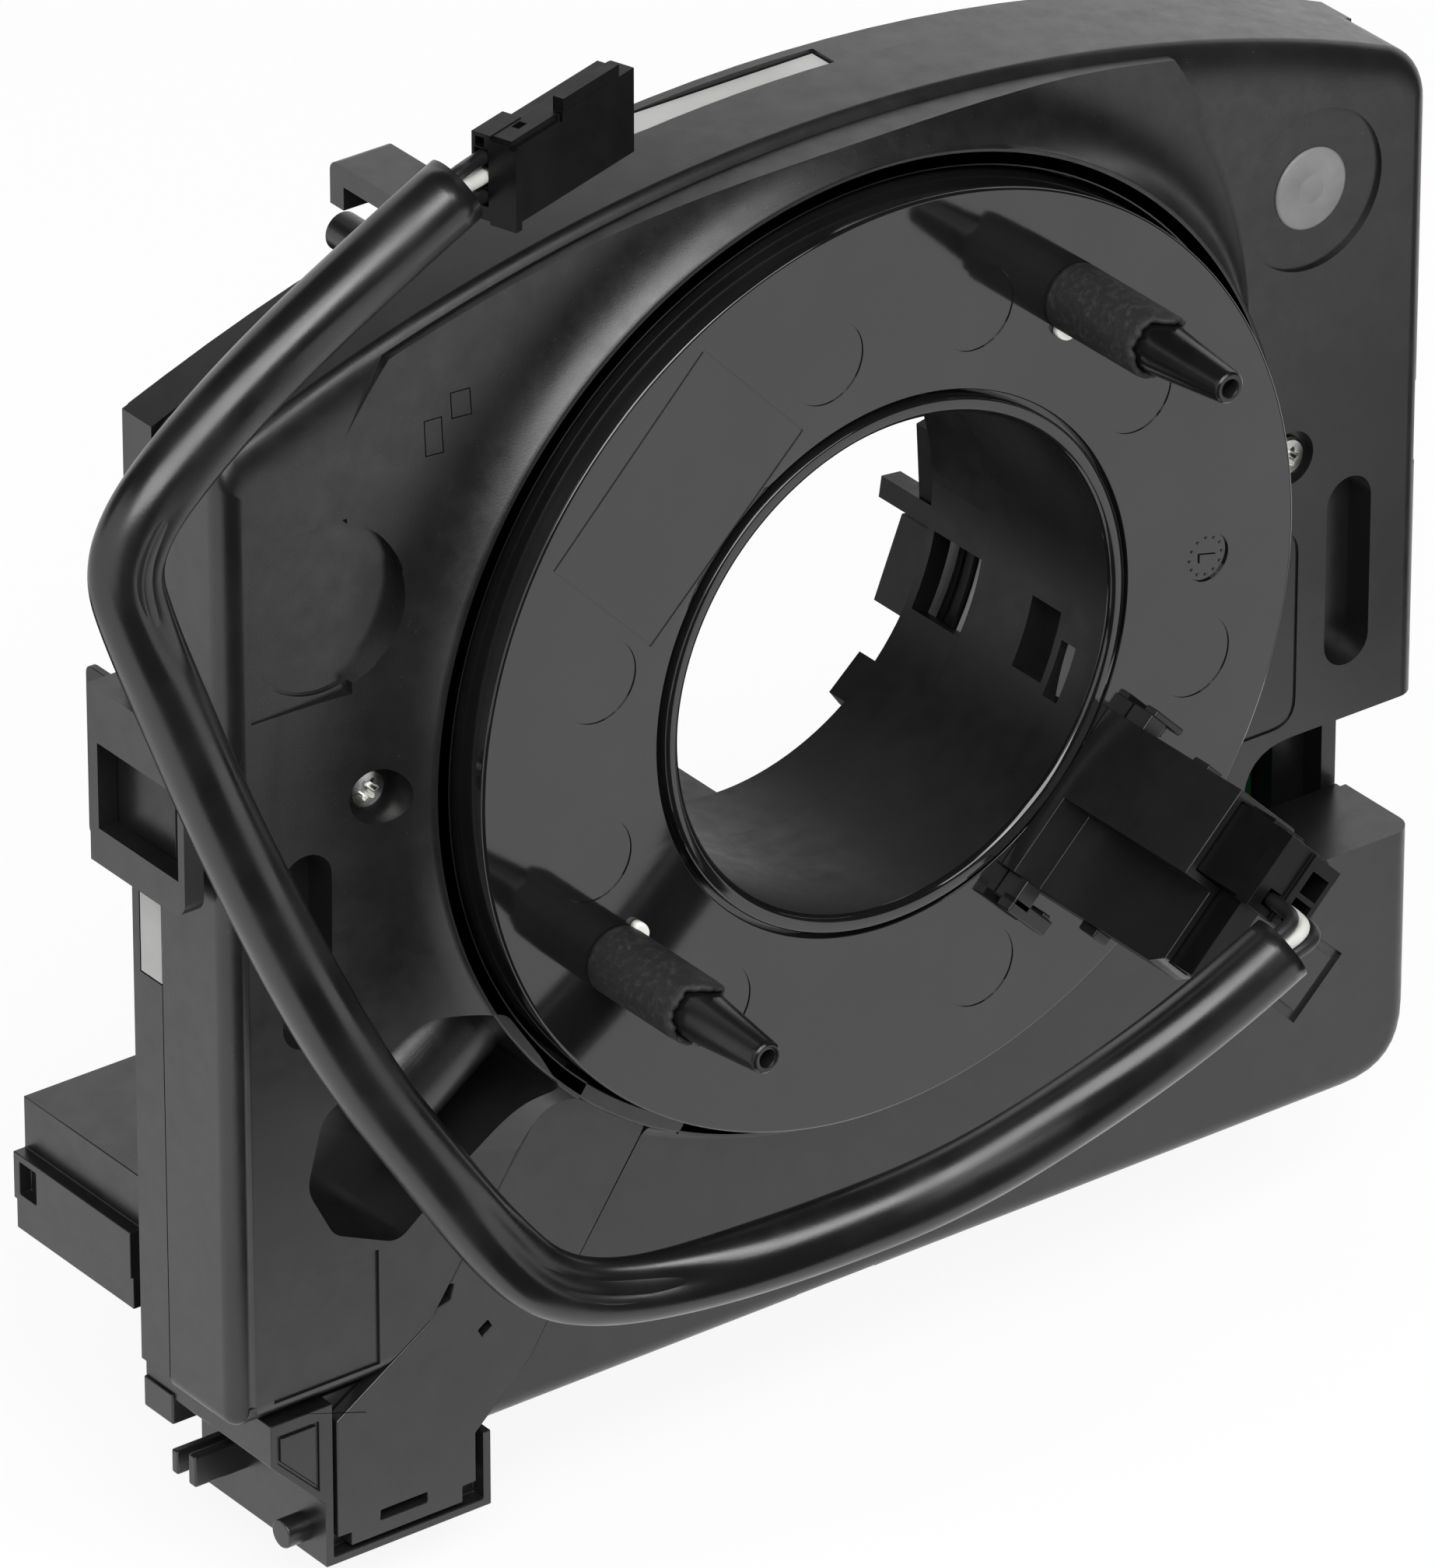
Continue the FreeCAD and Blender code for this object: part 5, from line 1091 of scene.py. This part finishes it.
MATERIALS.update({
    # torn rubber sleeves on the pins
    "rubber": rubber("chloroprene_torn", "#1c1c1c", "#363636", 0.62, 0.8, 0.10),
    # plasticised vinyl sleeve over the wires, which shows long soft streaks
    "sleeve": tubing("vinyl_tubing", "#131313", "#1a1a1a", 0.25),
    "wire": tubing("vinyl_wire_skin", "#141414", "#1c1c1c", 0.35),
    "pale_wire": tubing("vinyl_wire_skin_pale", "#cfcfca", "#bdbdb8", 0.35),
})


def plated(name, colour, stain, roughness, mark):
    """Plated metal: bright, with fine turning marks and a faint stain."""
    material, tree, place = new_material(name)
    stains = add_node(tree, "TexNoise", pattern(place, 1.2, 4))
    stains = add_node(tree, "MapRange", reach(stains, 0.4, 0.7))
    base = add_node(tree, "Mix", {0: stains, 6: linear(colour), 7: linear(stain)}, 2, data_type="RGBA")
    normal = add_node(tree, "Bump", relief(add_node(tree, "TexNoise", pattern(place, mark, 3)), 0.01, 0.6))
    finish_material(tree, {"Base Color": base, "Metallic": 1.0, "Roughness": roughness, "Normal": normal})
    return material


MATERIALS.update({
    # zinc on rolled steel: the screws
    "steel": plated("zinc_on_rolled_steel", "#c9c9c6", "#a9a9a4", 0.26, 0.15),
    # tin on stamped brass: the contacts
    "tin": plated("tin_on_stamped_brass", "#c2c0ba", "#aaa79f", 0.30, 0.20),
})
print("materials:", len(MATERIALS))


def paint(thing, *names):
    """Gives a piece its materials, in the order of its faces' indexes, which clearing would set to 0."""
    indexes = [polygon.material_index for polygon in thing.data.polygons]
    thing.data.materials.clear()
    for name in names:
        thing.data.materials.append(MATERIALS[name])
    if len(names) > 1:
        thing.data.polygons.foreach_set("material_index", indexes)


KEPT = {"drive_ring": "hub", "inner_carrier": "carrier", "rear_housing": "housing",
        "connector_pins": "tin", "tower_contacts": "tin", "sensor_board": "board", "code_disc": "plug",
        "light_barrier": "plug", "flat_cable": "film", "cable_terminal_inner": "plug",
        "cable_terminal_outer": "plug", "airbag_plug_lock": "plug"}
for node, name in KEPT.items():
    paint(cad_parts[node], name)
for node in ("drive_ring", "inner_carrier", "rear_housing"):
    soften(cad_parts[node], 0.25)

# %% [markdown]
# ## Each piece rides its body
# Nothing moves by itself: a piece rides the body that carries it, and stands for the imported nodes
# that it redraws.

# %% Bodies
# piece, body, finishes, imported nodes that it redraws
PIECES = [
    (cover, "stator", ["housing"], ["front_cover"]),
    (collar, "stator", ["housing"], []),
    (badge_centre, "stator", ["bare"], []),
    (recess_boss, "stator", ["housing"], []),
    (strip, "stator", ["strip"], ["channel_cover"]),
    (tray, "stator", ["housing"], ["channel_tray"]),
    (channel_floor, "stator", ["housing"], []),
    (tray_fittings, "stator", ["housing"], []),
    (screws, "stator", ["steel"], ["cover_screws"]),
    (hood, "stator", ["housing"], ["rear_connector"]),
    (latch_back, "stator", ["socket"], []),
    (disc, "rotor", ["disc", "hub"], ["rotor_disc"]),
    (date_dial, "rotor", ["disc"], []),
    (keys, "rotor", ["white"], ["pin_locks"]),
    (tower, "rotor", ["socket"], ["connector_tower"]),
    (tower_feet, "rotor", ["socket"], []),
    (cable_plug, "rotor", ["plug"], ["cable_plug"]),
    (airbag_plug, "rotor", ["plug"], ["airbag_plug"]),
    (sleeve, "rotor", ["sleeve"], ["cable_sleeve"]),
    (wires, "rotor", ["wire", "pale_wire"], ["airbag_wires"]),
]
for name in PIN_ANGLES:
    PIECES.append((pins[name], "rotor", ["pin"], [f"{name}_driver_pin"]))
    PIECES.append((pin_sleeves[name], "rotor", ["rubber"], [f"{name}_pin_sleeve"]))
for thing, body, finishes, nodes in PIECES:
    paint(thing, *finishes)
    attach(thing, body)
    if nodes:
        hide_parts(*nodes)

# %% [markdown]
# ## Floor and light
# The object stands on a plain pale floor in a soft white studio. Two soft boxes, one above the camera's
# line and one in front and higher, light it at a plain level. Black plastic shows what it faces, so black
# cards, as a photographer sets them up, stand round it and only mirrors see them: they keep the ramp and
# the upper faces dark while the front faces the pale floor.

# %% Floor, cards and lamps
scene = bpy.context.scene
scene.view_settings.view_transform = "Standard"
FLOOR = -88.0


def seen_directly(tree):
    """1 for the camera and for what mirrors and glass show, 0 for light that falls on things."""
    rays = add_node(tree, "LightPath", output=None).outputs
    seen = add_node(tree, "Math", {0: rays["Is Camera Ray"], 1: rays["Is Glossy Ray"]}, operation="MAXIMUM")
    return add_node(tree, "Math", {0: seen, 1: rays["Is Transmission Ray"]}, operation="MAXIMUM")


def seen_white(name, lit_share):
    """Pale paper that the camera, and anything that mirrors it, sees as white, with the shadow kept."""
    material, tree, place = new_material(name)
    share = add_node(tree, "Math", {0: seen_directly(tree), 1: 1 - lit_share}, operation="MULTIPLY")
    paper = add_node(tree, "BsdfDiffuse", {"Color": linear("#f4f4f4")})
    glow = add_node(tree, "Emission", {"Color": (1, 1, 1, 1), "Strength": 1.0})
    mixed = add_node(tree, "MixShader", {0: share, 1: paper, 2: glow})
    add_node(tree, "OutputMaterial", {"Surface": mixed}, None)
    return material


def make_floor():
    bm = bmesh.new()
    bmesh.ops.create_grid(bm, x_segments=1, y_segments=1, size=4, matrix=Matrix.Translation(at(0, 0, FLOOR)))
    floor = link("floor", bm, outward=False)
    floor.data.materials.append(seen_white("studio_paper", 0.10))


def make_card(name, start, end, radius, low, high, foot=None):
    """A curved black card that only mirrors see; it may have a foot that lies on the floor."""
    bm = bmesh.new()
    heights = [(radius, high), (radius, low)] + ([(foot, low)] if foot else [])
    rings = [[bm.verts.new(at(x, y, z)) for x, y in arc((0, 0), out, start, end, 24)] for out, z in heights]
    for near, far in zip(rings, rings[1:]):
        for step in range(24):
            bm.faces.new((near[step], near[step + 1], far[step + 1], far[step]))
    hang_card(name, bm)


def make_roof():
    """A black roof that only mirrors see."""
    bm = bmesh.new()
    bm.faces.new([bm.verts.new(at(x, y, HIGH)) for x, y in arc((0, 0), FAR, 0, 360, 48)[:-1]])
    hang_card("card_roof", bm)


def hang_card(name, bm):
    card = link(name, bm, outward=False)
    card.data.materials.append(CARD)
    card.visible_camera = card.visible_diffuse = card.visible_shadow = False
    card.visible_transmission = False


def black_card():
    material, tree, place = new_material("black_card")
    card = add_node(tree, "BsdfDiffuse", {"Color": linear("#0a0a0a")})
    add_node(tree, "OutputMaterial", {"Surface": card}, None)
    return material


def make_lamp(name, place, size, power):
    """A square soft box that faces the middle of the object; glossy pieces mirror it."""
    lamp = bpy.data.objects.new(name, bpy.data.lights.new(name, "AREA"))
    scene.collection.objects.link(lamp)
    lamp.data.size = size
    lamp.data.energy = power
    lamp.location = at(*place)
    lamp.rotation_euler = (-lamp.location).to_track_quat("-Z", "Y").to_euler()


CARD = black_card()
# how far out the cards stand, and how high they reach
FAR, HIGH = 1300, 1050
make_floor()
make_card("card_left", 222, 282, FAR, FLOOR + 1, HIGH, 70)
make_card("card_left_foot", 204, 222, 420, FLOOR + 1, FLOOR + 2, 70)
make_card("card_front", 282, 326, FAR, FLOOR + 1, HIGH)
make_card("card_right", 326, 356, FAR, FLOOR + 1, HIGH, 150)
make_card("card_behind", 45, 128, 230, FLOOR + 1, FLOOR + 2, 90)
make_card("card_back", 100, 146, FAR, 250, HIGH)
make_roof()
make_lamp("key_lamp", (-443, -567, 695), 0.75, 9)
make_lamp("front_lamp", (40, -831, 996), 0.7, 6)


def make_world():
    world = bpy.data.worlds.new("studio")
    scene.world = world
    world.use_nodes = True
    tree = world.node_tree
    tree.nodes.clear()
    strength = add_node(tree, "MapRange", reach(seen_directly(tree), 0, 1, 0.5, 1.0))
    background = add_node(tree, "Background", {"Color": (1, 1, 1, 1), "Strength": strength})
    add_node(tree, "OutputWorld", {"Surface": background}, None)


make_world()
